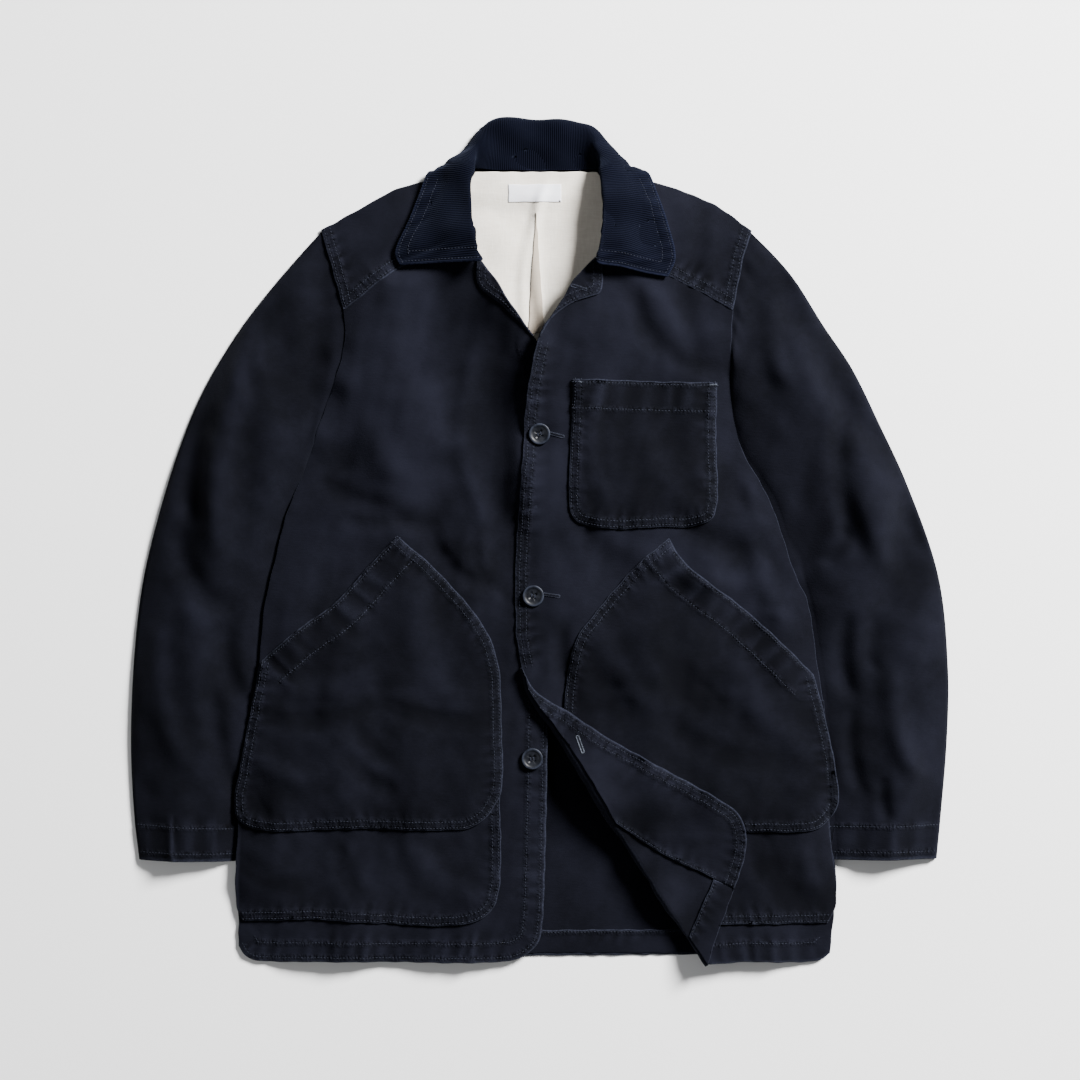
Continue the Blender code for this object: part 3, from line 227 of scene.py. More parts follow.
# Collar, station by station from its right front end round the back of the neck to its left front end. Each
# row has the neck seam, the crest of the roll, the side or upper leaf, the underside or lower leaf, and the
# outer edge, as (x, y, z).
COLLAR_STATIONS = (
    ((-62, 274, 27.5), (-55, 271, 35.0), (-82, 270, 30.0), (-108, 269, 24.5), (-134, 268, 19.5)),
    ((-75, 288, 27.0), (-61, 292, 35.0), (-87, 289, 29.5), (-112, 285, 23.0), (-138, 281, 17.5)),
    ((-79, 315, 24.0), (-65, 315, 33.0), (-86, 315, 28.0), (-106, 313, 21.5), (-125, 311, 16.0)),
    ((-77, 340, 18.6), (-67, 338, 29.0), (-83, 338, 24.0), (-99, 338, 17.5), (-115, 337, 12.5)),
    ((-73, 352, 14.0), (-67, 352, 25.0), (-83, 356, 19.5), (-96, 358, 12.5), (-107, 358, 6.5)),
    ((-71, 357, 12.0), (-66, 359, 23.0), (-87, 364, 14.0), (-97, 363, 6.0), (-101, 358, 2.4)),
    ((-69, 360, 10.6), (-66, 365, 21.0), (-86, 370, 9.5), (-90, 365, 2.0), (-94, 350, 1.3)),
    ((-64, 363, 9.2), (-63, 381, 16.0), (-71, 384, 7.0), (-74, 376, 1.5), (-76, 350, 1.3)),
    ((-57, 363, 7.4), (-56, 394, 12.0), (-59, 400, 5.5), (-60, 392, 1.4), (-61, 348, 1.3)),
    ((-43, 362, 6.3), (-41, 403, 8.6), (-41, 408, 4.8), (-41, 401, 1.4), (-41, 346, 1.3)),
    ((-4, 362, 6.2), (-4, 404, 8.4), (-4, 409, 4.8), (-4, 402, 1.4), (-4, 345, 1.3)),
    ((36, 362, 6.3), (35, 402, 8.6), (35, 407, 4.8), (35, 400, 1.4), (36, 346, 1.3)),
    ((51, 363, 7.4), (50, 395, 12.0), (53, 401, 5.5), (55, 393, 1.4), (56, 348, 1.3)),
    ((58, 363, 9.4), (56, 381, 16.0), (69, 384, 7.0), (71, 376, 1.5), (72, 350, 1.3)),
    ((63, 360, 11.2), (59, 365, 21.0), (83, 371, 9.5), (87, 365, 2.0), (90, 350, 1.3)),
    ((65, 357, 13.0), (59, 359, 23.5), (84, 364, 14.5), (94, 363, 6.0), (98, 358, 2.4)),
    ((67, 352, 15.4), (60, 352, 26.0), (79, 357, 20.5), (93, 358, 13.0), (104, 358, 6.5)),
    ((71, 340, 21.4), (61, 338, 31.0), (79, 338, 26.0), (97, 337, 18.5), (113, 337, 12.5)),
    ((73, 315, 27.0), (60, 315, 35.0), (82, 313, 29.5), (103, 310, 23.0), (123, 307, 17.0)),
    ((70, 290, 31.2), (57, 289, 38.0), (83, 286, 32.5), (107, 280, 25.0), (130, 275, 18.5)),
    ((64, 278, 33.0), (55, 269, 38.5), (79, 265, 32.5), (102, 260, 25.5), (123, 257, 20.0)),
)

# Sleeves, ring by ring below the armhole, as (outer x, outer y, inner x, inner y, tuck, puff). outer and
# inner are the ends of the ring on the plan, tuck is the width that lies flat under the body, and puff is how
# high the upper layer swells.
SLEEVES = {
    "right": (
        (-232, 279, -226, 80, 2, 10), (-261, 245, -236, 52, 2, 13), (-290, 207, -242, 36, 3, 15),
        (-325, 149, -243, 13, 8, 16), (-350, 89, -243, -16, 14, 16), (-380, -16, -249, -80, 21, 15),
        (-390, -78, -253, -115, 21, 15), (-396, -180, -258, -190, 25, 14), (-393, -262, -264, -269, 26, 13),
        (-388, -306, -266, -308, 27, 12),
    ),
    "left": (
        (228, 278, 187, 139, 2, 10), (248, 254, 193, 110, 2, 13), (275, 211, 205, 76, 3, 15),
        (303, 169, 218, 51, 5, 16), (331, 112, 225, 27, 8, 16), (355, 60, 230, -2, 12, 16),
        (386, -29, 243, -55, 18, 15), (396, -120, 254, -135, 21, 15), (395, -190, 259, -200, 22, 14),
        (389, -264, 263, -267, 22, 13), (385, -305, 265, -306, 23, 12),
    ),
}

# Buttons, at (x, y), sewn to the right front. The top two come through the left front.
BUTTON_PLACES = ((0, 105), (-6, -51), (-7, -208))

# Relief of the cloth: how its edges wander, how tall and steep its creases are, and where it lies calm.
EDGE_WAVE = 0.45
EDGE_WAVE_LENGTH = 13.0
CREASE_TALL = 2.7
CREASE_BOW = 0.06
CREASE_WIDE = 1.25
CREASE_STEEP = 0.34
CREASE_TAIL = 0.42
CREASE_BESIDE = 0.7
CALM_REACH = 18.0
LEAF_RAMP = 24.0
OWN_REACH = 14.0
OWN_LOFT = 1.6

# Slack: its height, and the length of its waves.
SLACK_WIDE = 2.5
SLACK_FINE = 0.3
BODY_WAVE = 95.0
BODY_STRETCH = (1.15, 0.8)
BODY_WAVE_FINE = 27.0
HOLLOW_LEFT = 0.3
OWN_WAVE = 30.0
FLAP_SLACK = 0.8
FLAP_WAVE = 60.0
FLAP_START = 55.0
LINING_SLACK = 0.7
LINING_WAVE = 70.0

# How much painted light and shade a crease or a pucker puts into the cloth's tone: painted shade in its
# troughs, and painted light on its crests, where it also stands for the cloth rubbed pale in the wash.
CREASE_SHADE_TALL = 3.0
CREASE_SHADE_SHARE = 0.8
CREASE_SHADE_OWN = 1.5
SLACK_SHADE = 0.4
PUCKER_SHADE = 1.5

# Seams: the step at the doubled cloth, the puckers across it, and where it is rubbed.
BAND_RISE = 0.7
BAND_RAMP = 2.5
PUCKER_TALL = 2.1
PUCKER_LENGTH = 5.5
PUCKER_REACH = 9.0
PUCKER_BAND = 30.0
PUCKER_SLANT = 0.35
PUCKER_SPAN = 2.2 * PUCKER_REACH
PUCKER_EVEN = 0.55
PUCKER_VARIES = 60.0
PUCKER_DEEPEST = 0.8
RUBBED_EDGE = 1.0
RUBBED_PUCKER = 0.4
RUBBED_PAST = 4.0
LAP = 0.5
FOLD_FLAT = 0.1
FOLD_WORN = 0.5

# Sleeves: points across a ring above and beneath, the shape of a ring, and its relief.
SLEEVE_ACROSS = 64
SLEEVE_BENEATH = 16
SLEEVE_STEP = 3.6
SLEEVE_CUTS = 16
SLEEVE_TUCK = 0.9
SLEEVE_FLAT = 3.2
SLEEVE_LEAST = 0.8 * SLEEVE_FLAT
SLEEVE_BOW = (0.55, 0.2)
SLEEVE_PEAK = 0.45
SLEEVE_FULL = 0.85
SLEEVE_START = 0.8
SLEEVE_UNDER = 2.0
SLEEVE_UNDER_END = 6.0
SLEEVE_HEAD = 46.0
SLEEVE_PUCKER = 0.9
SLEEVE_PUCKER_LENGTH = 11.0
SLEEVE_PUCKER_REACH = 16.0
SLEEVE_PUCKER_START = 4.0
SLEEVE_CREASE = 1.25
SLEEVE_CREASE_START = 12.0
SLEEVE_SLACK = 2.6
SLEEVE_WAVE = 85.0
SLEEVE_STRETCH = (1.5, 0.6)
SLEEVE_WAVE_FINE = 30.0
SLEEVE_STRETCH_FINE = 0.7
SLEEVE_CALM = 0.2

# Collar: its grid, the doubled band along its edge, its puckers and slack, and where it is rubbed.
COLLAR_ROWS = 56
COLLAR_CUTS = 12
COLLAR_BAND = 13.0
COLLAR_BAND_RISE = 0.35
COLLAR_BAND_RAMP = 3.0
COLLAR_PUCKER = 0.9
COLLAR_PUCKER_LENGTH = 1.3 * PUCKER_LENGTH
COLLAR_PUCKER_REACH = 6.0
COLLAR_PUCKER_START = 2.0
COLLAR_SLACK = 1.6
COLLAR_SLACK_START = 20.0
COLLAR_WAVE = 45.0
COLLAR_CALM_BELOW = 6.0
COLLAR_LEAST = 0.05
COLLAR_RUBBED = 1.3
COLLAR_RUBBED_REACH = 14.0
COLLAR_STITCH_ROWS = (3.0, 12.6)
GROOVE = 0.4
GROOVE_WIDTH = 1.2
LEAF_TOP = 352.0
FACES_UP = 0.2
FACES_DOWN = -0.3
UNDER_SHARE = 0.2

# Stitches, and the close ones of a buttonhole, a bar tack and a button's thread.
STITCH_PROUD = 0.12
STITCH_SWAY = 0.12
STITCH_GROWN = (0.85, 1.12)
STITCH_CLEAR = 0.35
PLACKET_ROW_TOP = 150.0
HOLE_STITCH = {"pitch": 0.55 * MM, "length": 1.9 * MM, "width": 0.55 * MM, "turn": math.pi / 2}
TACK_STITCH = {"pitch": 0.5 * MM, "length": 1.9 * MM, "width": 0.5 * MM, "turn": math.pi / 2}
BAR_STITCH = {"pitch": 0.5 * MM, "length": 0.9 * MM, "width": 0.5 * MM}
TACK_PROUD = 0.2
HOLE_PROUD = 0.15
HOLE_EDGE = 1.15
SLIT_WIDTH = 0.42

# Buttons: the steps of the upper side, as (in from the rim, down from the top), and the four holes.
BUTTON_SIDES = 44
BUTTON_ROUND = 1.0
BUTTON_CHAMFER = (1.2, 0.9)
BUTTON_DISH = 1.0
BUTTON_STEPS = ((2.0, 0.1), (2.7, 0.5), (3.4, BUTTON_DISH - 0.15), (4.2, BUTTON_DISH))
BUTTON_SAG = 0.15
BUTTON_MIDDLE = 0.25
BUTTON_CLEAR = 0.2
BUTTON_TURN = (0.3, -0.2, 0.1)
BORE_SPREAD = 2.1
BORE_RADIUS = 0.95
BORE_SIDES = 14
BORE_BASE = 0.5
BAR_APART = 0.45
BAR_ARCH = 0.35
BAR_SUNK = 0.1

# Buttonholes, by the sheet they are worked in: both ends, and the thread.
BUTTONHOLES = {
    "front_left_buttonhole_1": ("front_left", (8, 106.3), (22.8, 102.3), "navy"),
    "front_left_buttonhole_2": ("front_left", (2, -49.3), (18.5, -51.4), "navy"),
    "lapel_left_buttonhole": ("lapel_left", (31, 247), (44, 243), "navy"),
    "facing_left_corner_buttonhole": ("facing_left_corner", (36.5, -186), (41.5, -200), "pale"),
}

# Bar tacks at the top corners of the pockets: the pocket, and both ends.
BAR_TACKS = {
    "chest_pocket_tack_right": ("chest_pocket", (33.6, 155.6), (40.5, 154.4)),
    "chest_pocket_tack_left": ("chest_pocket", (164.6, 152.6), (171.2, 152.9)),
}

# Walls that differ from the canvas's. How a piece's tone differs from the rest: paler above 0, deeper below.
WALLS = {"lining": LINING, "lining_pleat": LINING, "label": LABEL}
PIECE_TONE = {
    "chest_pocket": -1.0, "waist_pocket_left": -1.0, "waist_pocket_right": -0.4, "lower_pocket_left": -0.4,
    "sleeve_right": -0.5, "front_right": 0.3, "front_left": 0.1, "yoke_front_left": 0.3,
    "yoke_front_right": 0.3,
}
SMOOTH_SHEETS = ("back", "yoke_back", "back_hem", "lapel_right", "lapel_left", "lining", "lining_pleat",
                 "label")
CORNER_SHEETS = ("flap", "facing_left_corner", "hem_left_corner")

# Light and view, in metres and watts.
ROOM_LIGHT = 0.2
LIGHTS = (("key", (2.5, 2.2, 2.15), 1.3, 1040.0), ("fill", (-1.8, -0.6, 2.4), 2.2, 14.0))
VIEW_CENTRE = (0.0005, 0.0029)

# Creases, by the piece they are in, as (x, y) at both ends, width and height. A trough has a height below 0.
CREASES = {
    "body": (
        (-82, 262, -62, 120, 34, -1.7), (-150, 250, -150, 90, 44, 0.9), (-70, 80, -78, -40, 30, -0.9),
        (-14, 262, -16, 60, 26, 2.4), (-130, 250, -140, 90, 40, 2.2), (60, 210, 52, 60, 26, 1.6),
        (170, 200, 120, 165, 22, 1.1), (120, -10, 215, -60, 22, 1.2), (-150, -20, -215, -75, 24, -1.0),
        (205, 20, 165, -20, 16, 1.2), (-220, 81, -190, 73, 7, -1.6), (-203, 56, -154, 35, 9, -2.4),
        (-177, 21, -133, 23, 8, -1.8), (-135, 23, -106, 16, 8, -2.2), (-106, 16, -96, -10, 8, -1.8),
        (-97, -12, -57, -40, 9, -2.6), (-60, 8, -51, -35, 6, -1.6), (-56, 35, -53, -16, 6, 1.4),
        (-43, -12, -37, -48, 6, -1.5), (-68, 166, -67, 56, 9, 1.8), (-116, 139, -97, 94, 26, 2.6),
        (-232, 139, -203, 100, 18, 1.6), (-164, 110, -145, 71, 16, 1.2), (91, 236, 109, 193, 10, -2.2),
        (131, 179, 163, 168, 9, -1.8), (159, 320, 153, 258, 10, -1.6), (199, 82, 173, 56, 11, -2.6),
        (226, -31, 226, -60, 14, -1.4), (59, 22, 97, -16, 14, 1.2), (20, -94, 34, -152, 9, -1.2),
        (-133, 304, -155, 273, 10, -1.2), (-232, 207, -194, 158, 16, 1.4), (-20, 240, -24, -20, 20, -2.2),
        (-190, 250, -205, 120, 22, -1.6), (196, 44, 236, -30, 9, -1.8), (150, 10, 205, -8, 12, -1.8),
        (140, -30, 205, -40, 12, 1.4), (186, 120, 196, 60, 10, 1.6), (204, 60, 228, -60, 11, 1.6),
        (80, 300, 130, 210, 16, 1.3), (140, 260, 150, 190, 12, -1.5), (22, 170, 24, 20, 12, 0.9),
    ),
    "lining": (
        (-4, 318, -13, 205, 5, 0.6), (-2, 318, 7, 205, 5, 0.6), (-30, 300, -38, 200, 14, 0.5),
        (34, 312, 26, 232, 13, 0.5),
    ),
    "waist_pocket_right": (
        (-254, -171, -179, -166, 8, -1.5), (-130, -164, -48, -171, 8, -2.6),
        (-173, -182, -151, -206, 7, -1.6), (-185, -211, -154, -234, 7, -1.6),
        (-279, -206, -230, -228, 10, 1.6), (-279, -242, -264, -262, 7, -1.1),
        (-116, -55, -97, -143, 16, 1.2), (-232, -143, -174, -133, 12, 1.2),
    ),
    "lower_pocket_right": (
        (-194, -305, -171, -344, 8, -1.7), (-285, -313, -236, -331, 9, -1.6),
        (-116, -307, -67, -346, 12, 1.0),
    ),
    "chest_pocket": (
        (61, 122, 63, 66, 6, -1.3), (46, 81, 56, 32, 7, -1.4), (149, 69, 159, 59, 9, 1.3),
        (97, 110, 136, 42, 16, 0.9),
    ),
    "waist_pocket_left": (
        (117, -94, 156, -152, 14, -1.2), (194, -133, 243, -191, 14, 1.3), (59, -94, 97, -152, 12, 1.2),
        (146, -191, 214, -210, 9, -1.3),
    ),
    "lower_pocket_left": (
        (214, -298, 243, -346, 12, -1.3), (253, -278, 264, -327, 9, 1.0),
    ),
    "sleeve_left": (
        (246, 252, 312, 118, 15, -2.4), (291, 111, 300, 16, 10, -2.6), (372, 40, 330, -86, 18, -1.7),
        (323, -78, 320, -114, 9, -1.8), (294, -85, 297, -137, 9, -2.0), (280, -15, 294, 8, 7, -1.8),
        (331, -234, 334, -262, 7, -1.4), (226, 220, 231, 165, 11, 2.0), (318, 120, 330, -10, 16, 1.8),
        (350, 71, 369, 3, 12, -1.6), (340, -143, 355, -210, 11, 1.5), (301, -172, 307, -230, 8, -1.3),
    ),
    "sleeve_right": (
        (-293, 158, -315, 22, 16, 2.2), (-350, 0, -322, -54, 14, -1.8), (-305, -94, -292, -143, 12, -2.2),
        (-329, 110, -339, 42, 14, -1.4), (-368, -94, -354, -191, 12, 1.4),
        (-315, -152, -298, -230, 10, -1.3), (-269, 216, -281, 158, 10, -1.4),
    ),
}

# Seams and hems, by piece, as the runs they follow, the width of the doubled cloth, how far each row of
# stitches is from the edge, and the height of the puckers.
SEAMS = {
    "yoke_front_right": ((("yoke_seam_right",), 11, (2.8, 9.5), 0.55),
                         (("armhole_right_high",), 9, (2.6, 8.6), 0.4)),
    "yoke_front_left": ((("yoke_seam_left",), 11, (2.8, 9.5), 0.55),
                        (("armhole_left_high",), 9, (2.6, 8.6), 0.4)),
    "front_right": ((("edge_right_hidden", "edge_right_corner", "hem_right"), 19, (4, 18), 0.5),),
    "front_left": ((("edge_left",), 12, (4, 10), 0.6), (("hem_left",), 19, (18,), 0.5)),
    "flap": (),
    "facing_left_corner": ((("flap_front_edge", "flap_hem_high"), 12, (4, 10), 0.6),
                           (("facing_inner",), 3, (2.2,), 0.4)),
    "hem_left_corner": ((("hem_turn_inner",), 3, (2.2,), 0.4),),
    "back_hem": ((("back_hem_turn_0",), 3, (2.2,), 0.4),),
    "back": ((("back_hem",), 18, (18,), 0.4),),
    "lapel_right": ((("lapel_right",), 11, (3.2, 9), 0.2),),
    "lapel_left": ((("lapel_left",), 11, (3.2, 9), 0.2),),
    "chest_pocket": ((("chest_top",), 29, (3, 28), 0.9), (("chest_sides",), 9, (2.4, 8.2), 0.5)),
    "waist_pocket_right": ((("waist_opening_right",), 28, (3, 27), 0.6),
                           (("waist_sides_right",), 9, (2.4, 8.2), 0.55)),
    "waist_pocket_left": ((("waist_opening_left",), 28, (3, 27), 0.6),
                          (("waist_sides_left",), 9, (2.4, 8.2), 0.55)),
    "lower_pocket_right": ((("lower_right",), 9, (2.4, 8.2), 0.5),),
    "lower_pocket_left": ((("lower_left",), 9, (2.4, 8.2), 0.5),),
    "sleeve_right": ((("cuff_right",), 33, (7, 32), 0.5),),
    "sleeve_left": ((("cuff_left",), 33, (7, 32), 0.5),),
}
LAPPING = ("yoke_front_right", "yoke_front_left", "front_right", "front_left")


# Curves and places on the plan.

def smooth_run(points, step=MEDIUM_STEP):
    """Evenly spaced points, at most step apart, on a smooth curve through the given ones."""
    places = fine_curve(points)
    length = np.linalg.norm(np.diff(places, axis=0), axis=1).sum()
    return spaced(places, max(1, math.ceil(length / step)))


def fine_curve(points, cuts=10):
    """The smooth curve through the given points, each stretch of it cut into this many."""
    places = np.array(points, dtype=float)
    if len(places) < 3:
        return places
    padded = np.vstack((2 * places[0] - places[1], places, 2 * places[-1] - places[-2]))
    fine = [spline_point(padded[i:i + 4], t) for i in range(len(places) - 1) for t in np.arange(cuts) / cuts]
    return np.array(fine + [places[-1]])


def spaced(places, count):
    """A run of points cut into count equal lengths."""
    along = lengths_along(places)
    stops = np.linspace(0, along[-1], count + 1)
    return np.column_stack([np.interp(stops, along, places[:, axis]) for axis in range(places.shape[1])])


def spline_point(corners, t):
    """A point on the centripetal Catmull-Rom curve between the second and third of four corners."""
    knots = np.concatenate(([0], np.cumsum(np.sqrt(np.linalg.norm(np.diff(corners, axis=0), axis=1)))))
    at = knots[1] + t * (knots[2] - knots[1])
    level = list(corners)
    for spans in (((0, 1), (1, 2), (2, 3)), ((0, 2), (1, 3)), ((1, 2),)):
        level = [
            (level[i] * (knots[b] - at) + level[i + 1] * (at - knots[a])) / (knots[b] - knots[a])
            for i, (a, b) in enumerate(spans)
        ]
    return level[0]


def joined(*runs):
    """One closed outline from runs laid end to end, each turned round where it must be to meet the last."""
    first, second = runs[0], runs[1]
    ends = (second[0], second[-1])
    if min(math.dist(first[-1], end) for end in ends) > min(math.dist(first[0], end) for end in ends):
        first = first[::-1]
    outline = list(first)
    for run in runs[1:]:
        if math.dist(outline[-1], run[-1]) < math.dist(outline[-1], run[0]):
            run = run[::-1]
        outline += list(run[1:])
    return np.array(outline[:-1])


def lengths_along(places):
    """How far along a run each of its points is."""
    return np.concatenate(([0], np.cumsum(np.linalg.norm(np.diff(places, axis=0), axis=1))))


def joined_open(runs):
    """Runs laid end to end as one open run, each turned round where that is needed to meet the last."""
    line = runs[0]
    for run in runs[1:]:
        ends = (run[0], run[-1])
        if min(math.dist(line[-1], end) for end in ends) > min(math.dist(line[0], end) for end in ends):
            line = line[::-1]
        line = np.vstack((line, (run if math.dist(line[-1], run[0]) < ON_RUN else run[::-1])[1:]))
    return line


def leftward(run):
    """At each point of a run, the direction one step long that points to its left."""
    way = np.gradient(run, axis=0)
    return np.column_stack((-way[:, 1], way[:, 0])) / np.maximum(np.hypot(*way.T), SMALL)[:, None]


def place_on(run, x, y):
    """How far along a run the nearest point to each place is, and how far away."""
    start, way = run[:-1], np.diff(run, axis=0)
    squared = np.maximum((way ** 2).sum(1), SMALL)
    reached = lengths_along(run)
    along, away = np.zeros(len(x)), np.zeros(len(x))
    for part in np.array_split(np.arange(len(x)), max(1, len(x) * len(way) // CHUNK + 1)):
        rel_x, rel_y = x[part, None] - start[:, 0], y[part, None] - start[:, 1]
        share = np.clip((rel_x * way[:, 0] + rel_y * way[:, 1]) / squared, 0, 1)
        far = np.hypot(rel_x - share * way[:, 0], rel_y - share * way[:, 1])
        best = far.argmin(1)
        rows = np.arange(len(part))
        away[part] = far[rows, best]
        along[part] = reached[best] + share[rows, best] * np.sqrt(squared[best])
    return along, away


def distance_to(run, x, y):
    """How far each place lies from a run of points."""
    return place_on(run, x, y)[1]


def inside(outline, x, y):
    """True at each place that a closed outline goes round."""
    (x_low, y_low), (x_high, y_high) = outline.min(0), outline.max(0)
    near = np.nonzero((x >= x_low) & (x <= x_high) & (y >= y_low) & (y <= y_high))[0]
    x1, y1 = outline[:, 0], outline[:, 1]
    x2, y2 = np.roll(x1, -1), np.roll(y1, -1)
    rise = np.where(y2 == y1, SMALL, y2 - y1)
    found = np.zeros(len(x), dtype=bool)
    for part in np.array_split(near, max(1, len(near) * len(outline) // CHUNK + 1)):
        crosses = (y1 > y[part, None]) != (y2 > y[part, None])
        crosses &= x[part, None] < x1 + (y[part, None] - y1) * (x2 - x1) / rise
        found[part] = crosses.sum(1) % 2 == 1
    return found


def ease(t):
    """A soft step from 0 to 1."""
    t = np.clip(t, 0, 1)
    return t * t * (3 - 2 * t)


def over(outline, x, y, ramp):
    """1 inside an outline, falling softly to 0 at ramp outside it."""
    away = np.where(inside(outline, x, y), 0, distance_to(np.vstack((outline, outline[:1])), x, y))
    return ease(1 - away / ramp)


def swell(outline, x, y, reach):
    """0 at an outline, rising towards 1 inside it."""
    deep = np.where(inside(outline, x, y), distance_to(np.vstack((outline, outline[:1])), x, y), 0)
    return 1 - np.exp(-deep / reach)


def seeded(name):
    """Random numbers that are the same on every run."""
    return np.random.default_rng(zlib.crc32(name.encode()))


def uneven(name, along, spacing):
    """An uneven wave from -1 to 1 along a seam, whose humps are about this far apart."""
    random = seeded(name)
    count = int(max(along.max(), 1) / spacing * 1.6) + 8
    knots = np.cumsum(spacing * random.uniform(0.55, 1.45, count)) - 4 * spacing
    values = random.uniform(0.25, 1.0, count) * np.where(np.arange(count) % 2, 1, -1)
    at = np.clip(np.searchsorted(knots, along) - 1, 0, count - 2)
    share = ease((along - knots[at]) / (knots[at + 1] - knots[at]))
    return values[at] + (values[at + 1] - values[at]) * share


def undulation(name, x, y, wavelength, waves=16):
    """Slack cloth: a soft uneven field of about unit height."""
    random = seeded(name)
    total = np.zeros(len(x))
    for _ in range(waves):
        angle, phase = random.uniform(0, 2 * math.pi, 2)
        number = 2 * math.pi / (wavelength * random.uniform(0.6, 1.7))
        total += np.sin(number * (x * math.cos(angle) + y * math.sin(angle)) + phase)
    return total / math.sqrt(waves / 2)


for side, rings in SLEEVES.items():
    RUN_POINTS[f"cuff_{side}"] = (rings[-1][:2], rings[-1][2:4])
for piece, corners in CORNERS.items():
    for side, (start, end) in enumerate(zip(corners, corners[1:] + corners[:1])):
        RUN_POINTS[f"{piece}_{side}"] = (start, end)
RUNS = {name: smooth_run(points) for name, points in RUN_POINTS.items()}


def wavered(name, run):
    """A run as the sewn edge really goes: it wanders a little between its ends."""
    along = lengths_along(run)
    ends = ease(np.minimum(along, along[-1] - along) / EDGE_WAVE_LENGTH)
    return run + leftward(run) * (EDGE_WAVE * ends * uneven(name, along, EDGE_WAVE_LENGTH))[:, None]


EDGES = {name: wavered(name, smooth_run(points, FINE_STEP)) for name, points in RUN_POINTS.items()}

PIECES = {
    "back": ("side_right", "armhole_right_low", "back_yoke_seam", "armhole_left_low", "side_left",
             "back_hem"),
    "yoke_back": ("back_yoke_seam", "armhole_left_high", "shoulder_left", "back_neck", "shoulder_right",
                  "armhole_right_high"),
    "yoke_front_right": ("shoulder_right", "armhole_right_high", "yoke_seam_right", "neck_yoke_right"),
    "yoke_front_left": ("shoulder_left", "armhole_left_high", "yoke_seam_left", "neck_yoke_left"),
    "front_right": ("yoke_seam_right", "neck_front_right", "break_right", "edge_right_hidden",
                    "edge_right_corner", "hem_right", "side_right", "armhole_right_low"),
    "front_left": ("yoke_seam_left", "neck_front_left", "break_left", "edge_left", "fold_high", "fold_middle",
                   "fold_low", "hem_left", "side_left", "armhole_left_low"),
    "flap": ("fold_high", "fold_middle", "fold_low", "flap_hem_low", "flap_hem_high", "flap_front_edge"),
    "facing_left_corner": ("flap_front_edge", "flap_hem_high", "facing_inner_end", "facing_inner",
                           "fold_high"),
    "hem_left_corner": ("facing_inner_end", "flap_hem_low", "fold_low", "hem_turn_inner"),
    "back_hem": tuple(f"back_hem_turn_{side}" for side in range(4)),
    "chest_pocket": ("chest_top", "chest_sides"),
    "waist_pocket_right": ("waist_opening_right", "waist_sides_right"),
    "waist_pocket_left": ("waist_opening_left", "waist_sides_left"),
    "lower_pocket_right": ("lower_right", "lower_right_side", "lower_right_top"),
    "lower_pocket_left": ("lower_left", "lower_left_side", "lower_left_top"),
    "lapel_right": ("break_right", "lapel_right"),
    "lapel_left": ("break_left", "lapel_left"),
    "lining": ("lining_top", "lining_edge"),
    "lining_pleat": tuple(f"pleat_{side}" for side in range(5)),
    "label": tuple(f"label_{side}" for side in range(4)),
}
OUTLINES = {name: joined(*(RUNS[run] for run in runs)) for name, runs in PIECES.items()}
OUTLINES["fall"] = joined(RUNS["fall_edge"], smooth_run(FALL_TOP))
for leaf, stations in (("leaf_right", COLLAR_STATIONS[:5]), ("leaf_left", COLLAR_STATIONS[-5:])):
    OUTLINES[leaf] = np.array([station[0][:2] for station in stations] +
                              [station[-1][:2] for station in stations[::-1]], dtype=float)
PLAN_OUTLINES = [OUTLINES[name] for name in ("back", "yoke_back", "front_right", "front_left", "flap")]
OFF_PLAN = ("cuff_right", "cuff_left")
BACK_RUNS = ("side_right", "side_left", "armhole_right_low", "armhole_left_low", "back_yoke_seam", "back_hem",
             "edge_right_corner", "hem_right")
BODY_FOLDS = ("shoulder_right", "shoulder_left", "side_right", "side_left")
CORNER_FOLD = ("fold_high", "fold_middle", "fold_low")
COVERED_BY = {
    "front_right": ("front_left", "waist_pocket_right", "lower_pocket_right"),
    "lower_pocket_right": ("waist_pocket_right",),
    "lower_pocket_left": ("waist_pocket_left", "flap"),
    "waist_pocket_left": ("flap",),
}


# How high each layer lies, without its creases. Every function takes places on the plan.

def nearest_of(runs, x, y):
    """How far each place lies from the nearest of some runs."""
    return np.min([distance_to(RUNS[run], x, y) for run in runs], axis=0)


def back_bottom(x, y):
    """The back lies on the surface, over the sleeves' inner edges and over the collar's fall."""
    tuck = np.zeros_like(x)
    for side, top in TUCK_TOPS.items():
        near = ease(1 - (distance_to(RUNS[side], x, y) - TUCK_WIDTH) / TUCK_RAMP)
        along = ease((top - y) / TUCK_START) * ease((y - TUCK_BOTTOM) / TUCK_END + 1)
        tuck = np.maximum(tuck, near * along)
    return TUCK_RISE * tuck + FALL_RISE * over(OUTLINES["fall"], x, y, FALL_RAMP)


def hollow(x, y):
    """The air between the back and the fronts: none at the folds and seams, less at the hem."""
    folds = nearest_of(BODY_FOLDS, x, y)
    hem = 1 - (1 - HEM_HOLLOW) * np.exp(-distance_to(RUNS["back_hem"], x, y) / HEM_REACH)
    return BODY_HOLLOW * (1 - np.exp(-folds / HOLLOW_REACH)) * hem


def lift(x, y, side):
    """How far a front's neck and opening edge stand up under the collar and at the break."""
    height, start, span = LIFT[side]
    opening = "edge_left" if side == "left" else "edge_right_hidden"
    away = nearest_of((f"neck_yoke_{side}", f"neck_front_{side}", f"break_{side}", opening), x, y)
    shoulder = distance_to(RUNS[f"shoulder_{side}"], x, y)
    return (height * ease((y - start) / span) * np.exp(-(away / LIFT_REACH) ** 2)
            * (1 - np.exp(-shoulder / SHOULDER_REACH)))


